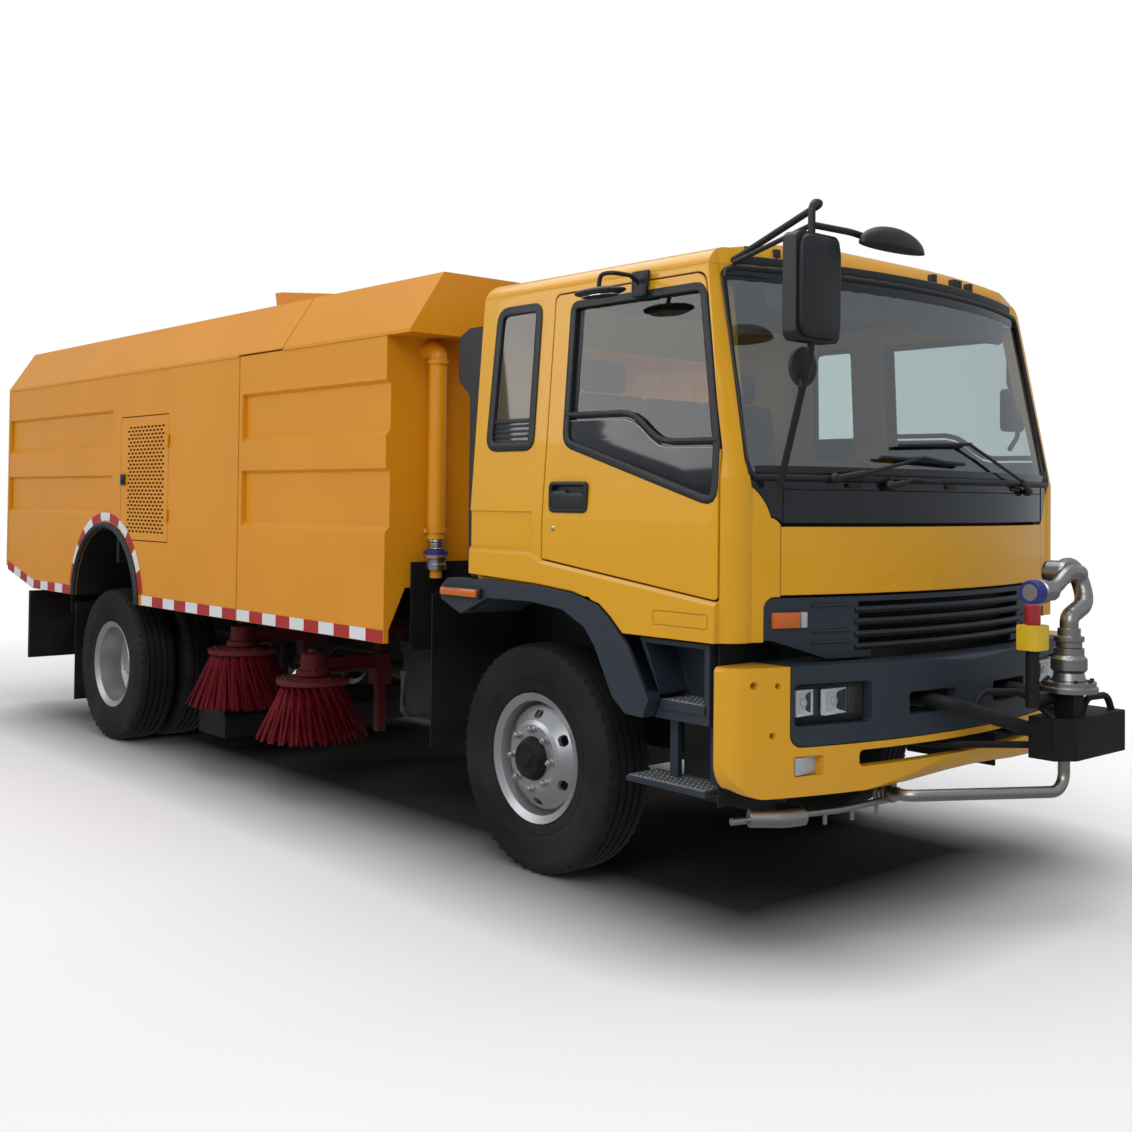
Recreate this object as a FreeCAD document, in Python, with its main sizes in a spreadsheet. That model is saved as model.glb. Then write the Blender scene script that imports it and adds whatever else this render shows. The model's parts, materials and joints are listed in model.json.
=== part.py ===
"""Street sweeper truck: a forward-control lorry with a washing and sweeping body.

Frame: +X is the truck's left, +Y its rear, +Z up, millimetres.  The origin is on the
ground below the middle of the truck's box.  Places along the truck are measured aft of
the front axle, whose own place is the cell front_axle.
"""
import FreeCAD
import Part
import Sketcher
import math
import os
import re

doc = FreeCAD.newDocument("StreetSweeper")
sheet = doc.addObject("Spreadsheet::Sheet", "Sizes")

# Driving dimensions: alias, value
SIZES = [
    ("front_axle", -2145), ("wheel_base", 4250), ("hub_z", 503),
    ("tyre_radius", 503), ("tyre_width", 258), ("rim_radius", 262), ("rim_lip", 286),
    ("front_track_half", 950), ("dual_mid", 936), ("dual_half", 154), ("kingpin_x", 702),
    ("rail_x", 430), ("rail_depth", 240), ("rail_top", 930), ("rail_web", 8), ("rail_flange", 75),
    ("rail_front_y", -1330), ("rail_back_y", 5960),
    ("cab_half", 1190), ("cab_top_half", 1120), ("cab_back_y", 315), ("cab_nose_y", -1436),
    ("bow_radius", 3000), ("cab_belt", 1730), ("cab_lean_z", 1560), ("roof_side", 2620),
    ("roof_mid", 2705), ("roof_split_z", 2550), ("cab_low", 1118),
    ("rake", 12), ("skin", 40), ("cab_floor", 1290), ("gap", 7), ("panel", 25), ("sill_out", 14),
    ("door_front_y", -1180), ("door_back_y", -190), ("door_top", 2515), ("door_thick", 60),
    ("lid_half", 941), ("lid_low", 1292), ("grille_low", 1045),
    ("bumper_half", 1200), ("bumper_low", 555), ("bumper_high", 1035), ("bumper_nose_y", -1527),
    ("bumper_end_y", -1185), ("bumper_corner", 90), ("bumper_wall", 45),
    ("body_half", 1240), ("body_bottom", 934), ("body_side_top", 2447), ("band_half", 1050),
    ("body_top", 2740), ("tank_front_y", 930), ("band_front_y", 727), ("split_y", 2430),
    ("band_split_y", 1940), ("body_back_y", 6170), ("tail_y", 5628), ("tail_z", 1066),
    ("tank_floor", 1200), ("hopper_floor", 1190), ("sheet_metal", 30), ("rib_depth", 26),
    ("tip_y", 6050), ("tip_z", 905), ("door_hinge_y", 6216), ("door_hinge_z", 2752),
    ("lift_foot_y", 3750), ("lift_foot_z", 800), ("lift_head_y", 4850), ("lift_head_z", 1100),
    ("brush_x", 1000), ("brush_front_y", 1980), ("brush_rear_y", 2800), ("brush_plate", 205),
    ("brush_front_z", 290), ("brush_rear_z", 380), ("brush_tall", 360), ("post_x", 560),
    ("cannon_x", 185), ("cannon_y", -1830), ("box_low", 640), ("box_high", 805),
    ("mirror_x", 1200), ("pipe_x", -1000),
]
for row, (alias, value) in enumerate(SIZES, 1):
    sheet.set("A%d" % row, alias)
    sheet.set("B%d" % row, str(value))
    sheet.setAlias("B%d" % row, alias)
doc.recompute()
WORDS = re.compile(r"\b(" + "|".join(alias for alias, _ in SIZES) + r")\b")
WAYS = {"X": FreeCAD.Vector(1, 0, 0), "Y": FreeCAD.Vector(0, 1, 0), "Z": FreeCAD.Vector(0, 0, 1)}
TURNS = {"X": FreeCAD.Rotation(FreeCAD.Vector(1, 1, 1), 120), "Y": FreeCAD.Rotation(WAYS["X"], 90),
         "Z": FreeCAD.Rotation()}
SIDES = [(1, "left"), (-1, "right")]


# ---------------------------------------------------------------- expressions
def cells(expression):
    """An expression with each alias turned into a reference to the sheet."""
    return WORDS.sub(r"Sizes.\1", str(expression))


def num(expression):
    """The value of an expression of the sheet's cells."""
    return float(sheet.evalExpression(str(expression)))


def fa(expression):
    """A place along the truck, given aft of the front axle."""
    return "front_axle + (%s)" % expression


def bind(thing, **sizes):
    for name, expression in sizes.items():
        thing.setExpression(name.replace("__", "."), cells(expression))
    return thing


def at(thing, x, y, z):
    return bind(thing, Placement__Base__x=x, Placement__Base__y=y, Placement__Base__z=z)


# ---------------------------------------------------------------- sketches
def draw(sketch, outline):
    """Draws a closed outline, listed counter-clockwise, and binds it to the sheet.

    A corner is (u, v), or (u, v, radius) where the run to the next corner is an arc that
    bulges outwards; a negative radius bulges inwards.
    """
    spots = [FreeCAD.Vector(num(corner[0]), num(corner[1]), 0) for corner in outline]
    runs = []
    for here, after, corner in zip(spots, spots[1:] + spots[:1], outline):
        if len(corner) > 2:
            runs.append(add_arc(sketch, here, after, num(corner[2])))
        else:
            runs.append((sketch.addGeometry(Part.LineSegment(here, after)), 1, 2))
    for index, (corner, spot) in enumerate(zip(outline, spots)):
        line, start, end = runs[index]
        after, after_start, _ = runs[(index + 1) % len(runs)]
        sketch.addConstraint(Sketcher.Constraint("Coincident", line, end, after, after_start))
        hold(sketch, ("DistanceX", -1, 1, line, start), spot.x, corner[0])
        hold(sketch, ("DistanceY", -1, 1, line, start), spot.y, corner[1])
        if len(corner) > 2:
            hold(sketch, ("Radius", line), abs(num(corner[2])), "abs(%s)" % corner[2])
    return sketch


def add_arc(sketch, here, after, radius):
    """Adds an arc, and says which of its ends starts and closes the run."""
    across = after - here
    left = FreeCAD.Vector(-across.y, across.x, 0).normalize()
    height = math.sqrt(max(0, radius ** 2 - (across.Length / 2) ** 2))
    centre = (here + after) / 2 + left * (height if radius > 0 else -height)
    first, last = (here, after) if radius > 0 else (after, here)
    angles = [math.atan2(end.y - centre.y, end.x - centre.x) for end in (first, last)]
    circle = Part.Circle(centre, WAYS["Z"], abs(radius))
    line = sketch.addGeometry(Part.ArcOfCircle(circle, *angles))
    return (line, 1, 2) if radius > 0 else (line, 2, 1)


def hold(sketch, kind, value, expression):
    index = sketch.addConstraint(Sketcher.Constraint(*kind, value))
    if WORDS.search(str(expression)):
        sketch.setExpression("Constraints[%d]" % index, cells(expression))


def rounded(corners, radius):
    """Rounds the corners of a straight-sided outline; a third entry is a corner's own radius."""
    spots = [FreeCAD.Vector(num(corner[0]), num(corner[1]), 0) for corner in corners]
    outline = []
    for index, corner in enumerate(corners):
        here = spots[index]
        into = (here - spots[index - 1]).normalize()
        out = (spots[(index + 1) % len(spots)] - here).normalize()
        own = corner[2] if len(corner) > 2 else radius
        if not own:
            outline.append(corner[:2])
            continue
        reach = own * math.tan(into.getAngle(out) / 2)
        bulge = own if into.x * out.y - into.y * out.x > 0 else -own
        first = into * -reach
        last = out * reach
        outline.append(("%s + (%.3f)" % (corner[0], first.x), "%s + (%.3f)" % (corner[1], first.y),
                        bulge))
        outline.append(("%s + (%.3f)" % (corner[0], last.x), "%s + (%.3f)" % (corner[1], last.y)))
    return outline


def mirror_points(half_outline):
    """An outline symmetric about u = 0, from its corners on the +u side, listed upwards."""
    other = []
    for index in range(len(half_outline) - 1, -1, -1):
        u, v = half_outline[index][:2]
        arc = half_outline[index - 1][2:] if index else ()
        other.append(("-(%s)" % u, v) + tuple(arc))
    return list(half_outline) + other


# ---------------------------------------------------------------- document objects
def extrude(name, plane, outline, low, high):
    """A straight solid: an outline on plane X (y, z), Y (x, z) or Z (x, y), from low to high."""
    profile = draw(doc.addObject("Sketcher::SketchObject", name + "_outline"), outline)
    profile.Placement.Rotation = TURNS[plane]
    bind(profile, **{"Placement__Base__" + plane.lower(): low})
    made = doc.addObject("Part::Extrusion", name)
    made.Base = profile
    made.DirMode = "Custom"
    made.Dir = WAYS[plane]
    made.Solid = True
    return bind(made, LengthFwd="(%s) - (%s)" % (high, low))


def lathe(name, axis, outline, place):
    """A turned solid from (along, radius) pairs about X or Y, or (radius, z) pairs about Z."""
    profile = draw(doc.addObject("Sketcher::SketchObject", name + "_outline"), outline)
    profile.Placement.Rotation = TURNS["X" if axis == "Y" else "Y"]
    made = doc.addObject("Part::Revolution", name)
    made.Source = profile
    made.Axis = WAYS[axis]
    made.Base = FreeCAD.Vector()
    made.Angle = 360
    made.Solid = True
    return at(made, *place)


def block(name, x, y, z):
    """A box from three (low, high) pairs of expressions."""
    made = doc.addObject("Part::Box", name)
    spans = ["(%s) - (%s)" % (high, low) for low, high in (x, y, z)]
    bind(made, Length=spans[0], Width=spans[1], Height=spans[2])
    return at(made, x[0], y[0], z[0])


def rod(name, radius, length, place, axis):
    """A cylinder from place along X, Y or Z."""
    made = bind(doc.addObject("Part::Cylinder", name), Radius=radius, Height=length)
    turn = {"X": (0, 1, 0, 90), "Y": (1, 0, 0, -90), "Z": (0, 0, 1, 0)}[axis]
    made.Placement.Rotation = FreeCAD.Rotation(FreeCAD.Vector(*turn[:3]), turn[3])
    return at(made, *place)


def combine(kind, name, pieces):
    made = doc.addObject("Part::Multi" + kind, name)
    made.Shapes = pieces
    return made


def fuse(name, pieces):
    return combine("Fuse", name, pieces)


def common(name, pieces):
    return combine("Common", name, pieces)


def cut(name, base, tools):
    made = doc.addObject("Part::Cut", name)
    made.Base = base
    made.Tool = tools[0] if len(tools) == 1 else fuse(name + "_tools", tools)
    return made


def mirrored(name, source):
    """The same piece on the truck's other side."""
    made = doc.addObject("Part::Mirroring", name)
    made.Source = source
    made.Normal = WAYS["X"]
    return made


def both(name, source):
    """A piece and its mirror image, as one object."""
    return loose(name, [source, mirrored(name + "_mirror", source)])


def loose(name, pieces):
    """Pieces that don't touch, kept as one node."""
    made = doc.addObject("Part::Compound", name)
    made.Links = pieces
    return made


def feature(name, shape):
    made = doc.addObject("Part::Feature", name)
    made.Shape = shape
    return made


def span(side, inner, outer):
    """A (low, high) pair in X on one side of the truck."""
    low = "%d * (%s)" % (side, inner)
    high = "%d * (%s)" % (side, outer)
    return (low, high) if side > 0 else (high, low)


def chamfer(name, base, chosen, size):
    """Bevels the edges of a piece whose middle is where chosen says."""
    doc.recompute()
    edges = base.Shape.Edges
    made = doc.addObject("Part::Chamfer", name)
    made.Base = base
    made.Edges = [(index, size, size) for index, edge in enumerate(edges, 1) if chosen(edge.CenterOfMass)]
    return made


def pipe(points, radius, bend=2.2):
    """A round bar of straight runs joined by tangent arcs along a short route."""
    route = [FreeCAD.Vector(*[num(value) for value in point]) for point in points]
    edges = []
    start = route[0]
    for before, corner, after in zip(route, route[1:], route[2:]):
        into = corner - before
        out = after - corner
        half_turn = into.getAngle(out) / 2
        reach = min(0.45 * min(into.Length, out.Length), bend * radius * math.tan(half_turn) + radius)
        into.normalize()
        out.normalize()
        inward = (out - into).normalize()
        round_off = reach / math.tan(half_turn)
        middle = corner + inward * (round_off / math.cos(half_turn) - round_off)
        first = corner - into * reach
        last = corner + out * reach
        edges.append(Part.LineSegment(start, first).toShape())
        edges.append(Part.Arc(first, middle, last).toShape())
        start = last
    edges.append(Part.LineSegment(start, route[-1]).toShape())
    ring = Part.Wire(Part.makeCircle(radius, route[0], route[1] - route[0]))
    return Part.Wire(edges).makePipeShell([ring], True, False)


NODES = []


def node(thing, label=None):
    thing.Label = label or thing.Name
    NODES.append(thing)
    return thing


# ---------------------------------------------------------------- PartDesign bodies
def origin_part(body, role):
    return [part for part in body.Origin.OriginFeatures if part.Role == role][0]


def body_sketch(body, name, plane, outline):
    sketch = body.newObject("Sketcher::SketchObject", name)
    sketch.AttachmentSupport = [(origin_part(body, plane), "")]
    sketch.MapMode = "FlatFace"
    return draw(sketch, outline)


def turned_body(name, outline, axis="H_Axis"):
    """A body turned from a profile on its XZ plane, about the sketch's own axis."""
    body = doc.addObject("PartDesign::Body", name)
    profile = body_sketch(body, name + "_profile", "XZ_Plane", outline)
    turned = body.newObject("PartDesign::Revolution", name + "_turned")
    turned.Profile = profile
    turned.ReferenceAxis = (profile, [axis])
    turned.Angle = 360
    return body


def polar(body, source, axis, count):
    pattern = body.newObject("PartDesign::PolarPattern", source.Name + "_ring")
    pattern.Originals = [source]
    pattern.Axis = (origin_part(body, axis), [""])
    pattern.Occurrences = count
    pattern.Angle = 360
    body.Tip = pattern
    return pattern


def hand_holes(body, radius, count):
    """Ventilation holes through a wheel's disc, round its axis."""
    half_u, half_v = 17, 25
    oval = rounded([(-half_v, "%g" % (radius - half_u)), (half_v, "%g" % (radius - half_u)),
                    (half_v, "%g" % (radius + half_u)), (-half_v, "%g" % (radius + half_u))], half_u - 1)
    hole = body_sketch(body, body.Name + "_hole", "YZ_Plane", oval)
    pocket = body.newObject("PartDesign::Pocket", body.Name + "_pocket")
    pocket.Profile = hole
    pocket.Type = "ThroughAll"
    pocket.Midplane = True
    polar(body, pocket, "X_Axis", count)


# ---------------------------------------------------------------- chassis
def frame_rails():
    """Two channel-section rails, their cross members and the tipping pivot's lugs."""
    section = [("rail_x - rail_flange", "rail_top - rail_depth"), ("rail_x", "rail_top - rail_depth"),
               ("rail_x", "rail_top"), ("rail_x - rail_flange", "rail_top"),
               ("rail_x - rail_flange", "rail_top - rail_web"),
               ("rail_x - rail_web", "rail_top - rail_web"),
               ("rail_x - rail_web", "rail_top - rail_depth + rail_web"),
               ("rail_x - rail_flange", "rail_top - rail_depth + rail_web")]
    rail = extrude("rail_left", "Y", section, fa("rail_front_y"), fa("rail_back_y"))
    pieces = [rail, mirrored("rail_right", rail)]
    for index, place in enumerate((-1290, -640, 900, 1900, 2870, 3630, 5000, 5800)):
        pieces.append(block("cross_%d" % index, ("rail_web - rail_x", "rail_x - rail_web"),
                            (fa(place), fa(place + 60)), ("rail_top - rail_depth + 30", "rail_top - 60")))
    lug = [(fa("tip_y - 190"), "rail_top - 140"), (fa("tip_y + 20"), "rail_top - 140"),
           (fa("tip_y + 45"), "tip_z", 46), (fa("tip_y - 45"), "tip_z"),
           (fa("tip_y - 190"), "tip_z - 60")]
    for side, name in SIDES:
        pieces.append(extrude("tip_lug_" + name, "X", lug, *span(side, 300, "rail_x - rail_web + 1")))
        foot = [(fa("3680"), "lift_foot_z - 45"), (fa("lift_foot_y + 10"), "lift_foot_z - 45"),
                (fa("lift_foot_y + 36"), "lift_foot_z", 37), (fa("lift_foot_y - 36"), "lift_foot_z"),
                (fa("3680"), "lift_foot_z + 60")]
        pieces.append(extrude("foot_lug_" + name, "X", foot, *span(side, 58, 78)))
    pieces.append(rod("foot_pin", 20, 160, (-80, fa("lift_foot_y"), "lift_foot_z"), "X"))
    bore = rod("tip_bore", 28, 1000, (-500, fa("tip_y"), "tip_z"), "X")
    node(cut("frame_rails", fuse("rails_all", pieces), [bore]))


def leaf_spring(name, place, low, long, bow, side):
    """A pack of three curved leaves with its hangers up to the rail."""
    pieces = []
    for leaf in range(3):
        half = long / 2 - leaf * 170
        end = low + 36 - 18 * leaf + bow - math.sqrt(bow ** 2 - half ** 2)
        outline = [(fa(place - half), end, bow), (fa(place + half), end),
                   (fa(place + half), end + 18, -bow),
                   (fa(place - half), end + 18)]
        pieces.append(extrude("%s_leaf_%d" % (name, leaf), "X", outline, *span(side, 350, 425)))
    tip = low + 40 + bow - math.sqrt(bow ** 2 - (long / 2) ** 2)
    for end in (-1, 1):
        middle = place + end * (long / 2 - 36)
        hanger = [(fa(middle - 38), tip - 14), (fa(middle + 38), tip - 14),
                  (fa(middle + 60), "rail_top - rail_depth - 0.5"),
                  (fa(middle - 60), "rail_top - rail_depth - 0.5")]
        pieces.append(extrude("%s_hanger_%d" % (name, end > 0), "X", hanger, *span(side, 355, 420)))
    return fuse(name, pieces)


def axles():
    beam = [(-700, 432), (-560, 432), (-480, 395), (480, 395), (560, 432), (700, 432), (700, 520),
            (540, 520),
            (460, 485), (-460, 485), (-540, 520), (-700, 520)]
    pieces = [extrude("beam", "Y", beam, fa(-45), fa(45))]
    for side, name in SIDES:
        pieces.append(rod("boss_" + name, 55, 120, ("%d * kingpin_x" % side, fa(0), 435), "Z"))
        pieces.append(block("front_seat_" + name, span(side, 345, 430), (fa(-70), fa(70)), (470, 519.5)))
    node(fuse("front_axle_beam", pieces))
    casing = [(-690, 0), (690, 0), (690, 62), (660, 62), (660, 200), (500, 200), (500, 75), (260, 75),
              (90, 205), (-90, 205), (-260, 75), (-500, 75), (-500, 200), (-660, 200), (-660, 62),
              (-690, 62)]
    rear = fa("wheel_base")
    housing = lathe("axle_casing", "X", casing, (0, rear, "hub_z"))
    nose = lathe("axle_nose", "Y", [(-360, 0), (-100, 0), (-100, 170), (-330, 92), (-360, 92)],
                 (0, rear, "hub_z"))
    seats = [block("rear_seat_" + name, span(side, 345, 430),
                   (fa("wheel_base - 70"), fa("wheel_base + 70")),
                   (540, 584.5)) for side, name in SIDES]
    rear_axle = node(fuse("rear_axle", [housing, nose] + seats))
    gearbox = block("gearbox_end", (-180, 180), (fa(559), fa(690)), (480, 800))
    start = FreeCAD.Vector(0, num(fa(660)), 601)
    way = FreeCAD.Vector(0, num(fa("wheel_base - 340")), num("hub_z + 4")) - start
    shaft = feature("shaft", Part.makeCylinder(50, way.Length, start, way))
    node(cut("propshaft", shaft, [rear_axle, gearbox]))
    packs = [leaf_spring("spring_%s_%s" % (where, name), place, low, long, bow, side)
             for where, place, low, long,
             bow in (("front", 0, 520, 1350, 2600), ("rear", 4250, 585, 1500, 9000))
             for side, name in SIDES]
    node(loose("leaf_springs", packs))


def tyre_outline():
    """A tyre's section: (along the axle, radius), with bulged walls and a crowned tread."""
    wall = [(91, "rim_radius"), (91, "rim_radius + 26"), (114, "rim_radius + 50"),
            ("tyre_width / 2 - 2", "rim_radius + 96"),
            ("tyre_width / 2", "tyre_radius - 92"), ("tyre_width / 2 - 6", "tyre_radius - 44"),
            ("tyre_width / 2 - 17", "tyre_radius - 19"), ("tyre_width / 2 - 34", "tyre_radius - 6"),
            (46, "tyre_radius")]
    return mirror_points(wall)


# (along, radius) of the front wheel's disc, barrel, hub and brake drum, from its middle plane
FRONT_RIM = [(-4, 0), (150, 0), (150, 52), (140, 64), (118, 68), (118, 148), (108, 166), (60, 226),
             (24, 243),
             (96, 250), (112, "rim_lip - 2"), (108, "rim_lip"), (100, "rim_lip"), (92, 261), (-92, 261),
             (-100, "rim_lip"), (-112, "rim_lip"), (-96, 250), (2, 246), (46, 216), (96, 160), (104, 144),
             (104, 84),
             (2, 84), (2, 183), (-96, 183), (-96, 172), (-4, 172)]
# the outer half of a twin wheel, from the plane where the two discs meet
REAR_RIM = [(0, 0), (150, 0), (150, 78), (138, 90), (12, 100), (12, 166), (40, 192), (98, 240),
            (246, 248),
            (266, "rim_lip - 2"), (262, "rim_lip"), (254, "rim_lip"), (246, 261), (62, 261),
            (54, "rim_lip"),
            (42, "rim_lip"), (56, 250), (84, 240), (28, 202), (0, 178)]


def wheels():
    for side, name in SIDES:
        tyre = lathe("front_tyre_" + name, "X", tyre_outline(),
                     ("%d * front_track_half" % side, fa(0), "hub_z"))
        node(tyre)
        rim = turned_body("front_rim_" + name, FRONT_RIM)
        hand_holes(rim, 192, 6)
        rim.Placement.Rotation = FreeCAD.Rotation(WAYS["Z"], 0 if side > 0 else 180)
        node(at(rim, "%d * front_track_half" % side, fa(0), "hub_z"))
        pieces = [block("knuckle_arm_%s_%d" % (name, low), span(side, 660, 800), (fa(-50), fa(50)),
                        (low, low + 80))
                  for low in (350, 560)]
        pieces.append(block("knuckle_web_" + name, span(side, 772, 834), (fa(-60), fa(60)), (350, 640)))
        plate = [(0, 0), (14, 0), (14, 166), (0, 166)]
        pieces.append(lathe("backplate_" + name, "X", plate, ("%d * 839 - 7" % side, fa(0), "hub_z")))
        reach = span(side, 833, 945)
        pieces.append(rod("spindle_" + name, 40, 112, (reach[0], fa(0), "hub_z"), "X"))
        node(fuse("knuckle_" + name, pieces))
    for side, name in SIDES:
        tyres = [lathe("rear_tyre_%s_%d" % (name, turn > 0), "X", tyre_outline(),
                       ("%d * dual_mid + %d * dual_half" % (side, turn), fa("wheel_base"), "hub_z"))
                 for turn in (1, -1)]
        node(loose("rear_tyres_" + name, tyres))
        rim = turned_body("rear_rims_" + name, REAR_RIM)
        hand_holes(rim, 206, 6)
        other = rim.newObject("PartDesign::Mirrored", "rear_rims_%s_inner" % name)
        other.Originals = [thing for thing in rim.Group if thing.TypeId in
                           ("PartDesign::Revolution", "PartDesign::Pocket")]
        other.MirrorPlane = (origin_part(rim, "YZ_Plane"), [""])
        rim.Tip = other
        node(at(rim, "%d * dual_mid" % side, fa("wheel_base"), "hub_z"))


def power_and_tanks():
    engine = block("engine_main", (-330, 330), (fa(-560), fa(560)), (700, 1180))
    gearbox = block("gearbox", (-180, 180), (fa(559), fa(690)), (480, 800))
    auxiliary = block("aux_engine", (-520, 520), (fa(2720), fa(3620)), (1240, 1800))
    node(loose("engine_blocks", [fuse("engine_block", [engine, gearbox]), auxiliary]))
    section = rounded([(520, 480), (1120, 480), (1120, 900), (520, 900)], 70)
    tank = extrude("fuel_drum", "Y", section, fa(760), fa(1430))
    straps = [extrude("strap_%d" % place, "Y",
                      rounded([(516, 476), (1124, 476), (1124, 904), (516, 904)], 74),
                      fa(place), fa(place + 40)) for place in (880, 1270)]
    bracket = block("tank_bracket", (430.5, 521), (fa(900), fa(1300)), (720, 860))
    case = block("battery_case", (-900, -520), (fa(720), fa(1250)), (520, 880))
    lid = block("battery_lid", (-910, -510), (fa(710), fa(1260)), (830, 900))
    hold_on = block("battery_bracket", (-521, -430.5), (fa(760), fa(1200)), (720, 820))
    node(loose("side_tanks", [fuse("fuel_tank", [tank, bracket] + straps),
                              fuse("battery_box", [case, lid, hold_on])]))


# ---------------------------------------------------------------- cab
def bow_plan(inset):
    """The cab's plan: straight sides and back, rounded corners and a bowed nose."""
    half = "(cab_half - (%g))" % inset
    corner = "(%s - 130)" % half
    nose = "front_axle + cab_nose_y + (%g)" % inset
    shoulder = "(%s + bow_radius - sqrt(bow_radius ^ 2 - %s ^ 2))" % (nose, corner)
    back = "front_axle + cab_back_y - (%g)" % inset
    return [(half, back), ("-" + half, back), ("-" + half, shoulder + " + 100", 110),
            ("-" + corner, shoulder, "bow_radius"), (corner, shoulder, 110), (half, shoulder + " + 100")]


def front_view(inset):
    """The cab from the front: sides that lean in above the waist, and an arched roof."""
    half = "cab_half - (%g)" % inset
    top_half = "(cab_top_half - (%g))" % inset
    side = "(roof_side - (%g))" % inset
    edge = "(%s - 110)" % top_half
    rise = "(roof_mid - roof_side)"
    arch = "(%s ^ 2 + %s ^ 2) / (2 * %s)" % (edge, rise, rise)
    return mirror_points([(half, "cab_low - 218"), (half, "cab_lean_z"), (top_half, side + " - 90", 99),
                          (edge, side, arch)])


def side_view(inset):
    """The cab from its side: an upright back and a roof rounded into it and the brow."""
    back = "(front_axle + cab_back_y - (%g))" % inset
    top = "(roof_mid - (%g))" % inset
    brow = "(front_axle - 1130 + (%g))" % inset
    return [("front_axle - 1800", "cab_low - 318"), (back, "cab_low - 318"), (back, top + " - 150", 150),
            (back + " - 150", top), (brow + " + 110", top, 112), (brow, top + " - 110"),
            ("front_axle - 1800", top + " - 112")]


def cab_form(name, inset):
    """The cab's outer form, or its inner form when inset is not zero."""
    upright = extrude(name + "_low", "Z", bow_plan(inset), "cab_low - 218", "cab_belt")
    leaning = extrude(name + "_high", "Z", bow_plan(inset), "cab_belt", "roof_mid + 40")
    leaning.Dir = FreeCAD.Vector(0, 1, 1)
    bind(leaning, Dir__y="sin(rake)", Dir__z="cos(rake)",
         LengthFwd="(roof_mid + 40 - cab_belt) / cos(rake)")
    stack = fuse(name + "_stack", [upright, leaning])
    gate = extrude(name + "_gate", "Y", front_view(inset), "front_axle - 1800", "front_axle + 700")
    crown = extrude(name + "_crown", "X", side_view(inset), -1300, 1300)
    return common(name, [stack, gate, crown])


def shell(name, outer, inner):
    """A wall between two of the cab's forms."""
    return cut(name, cab_form(name + "_out", outer), [cab_form(name + "_in", inner)])


def seen_from_front(name, outline):
    """An outline in (x, z) carried through the cab's nose."""
    return extrude(name, "Y", outline, "front_axle - 2000", "front_axle - 800")


def seen_from_side(name, outline, low=-1400, high=1400):
    return extrude(name, "X", outline, low, high)


def door_outline(grow):
    """The door from its side, (y, z): a sill that drops forward and a raked pillar."""
    return rounded([(fa("door_back_y + (%g)" % grow), 1392 - grow, 12),
                    (fa("door_back_y + (%g)" % grow), "door_top + (%g)" % grow, 30),
                    (fa(-1050 - grow), "door_top + (%g)" % grow, 55),
                    (fa("door_front_y - (%g)" % grow), 1821, 90),
                    (fa("door_front_y - (%g)" % grow), 1276 - grow, 12)], 10)


def window_outline(grow):
    return rounded([(fa(-292 + grow), 1872 - grow, 75), (fa(-292 + grow), 2478 + grow, 45),
                    (fa(-1054 - grow), 2478 + grow, 60), (fa(-1172 - grow), 1850, 30),
                    (fa(-1176 - grow), 1618 - grow, 60)], 40)


def quarter_outline(grow):
    return rounded([(fa(213 + grow), 1867 - grow, 55), (fa(190 + grow), 2485 + grow, 60),
                    (fa(-88 - grow), 2485 + grow, 45), (fa(-88 - grow), 1867 - grow, 45)], 45)


def nose_opening(grow):
    """The cab's open front: grille at the foot, lid, curved cowl corners and windshield."""
    grow = -grow
    return mirror_points([(1012 + grow, 1000), (1012 + grow, 1240, 46), (966 + grow, "lid_low - 6"),
                          ("lid_half + 4 + (%g)" % grow, "lid_low - 6"),
                          ("lid_half + 4 + (%g)" % grow, 1556 - grow, -60),
                          (985 + grow, 1582 - grow, -210), (1066 + grow, 1700), (1090 + grow, 1800),
                          (1062 + grow, 2512 + grow, 60), (1020 + grow, 2547 + grow)])


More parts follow.
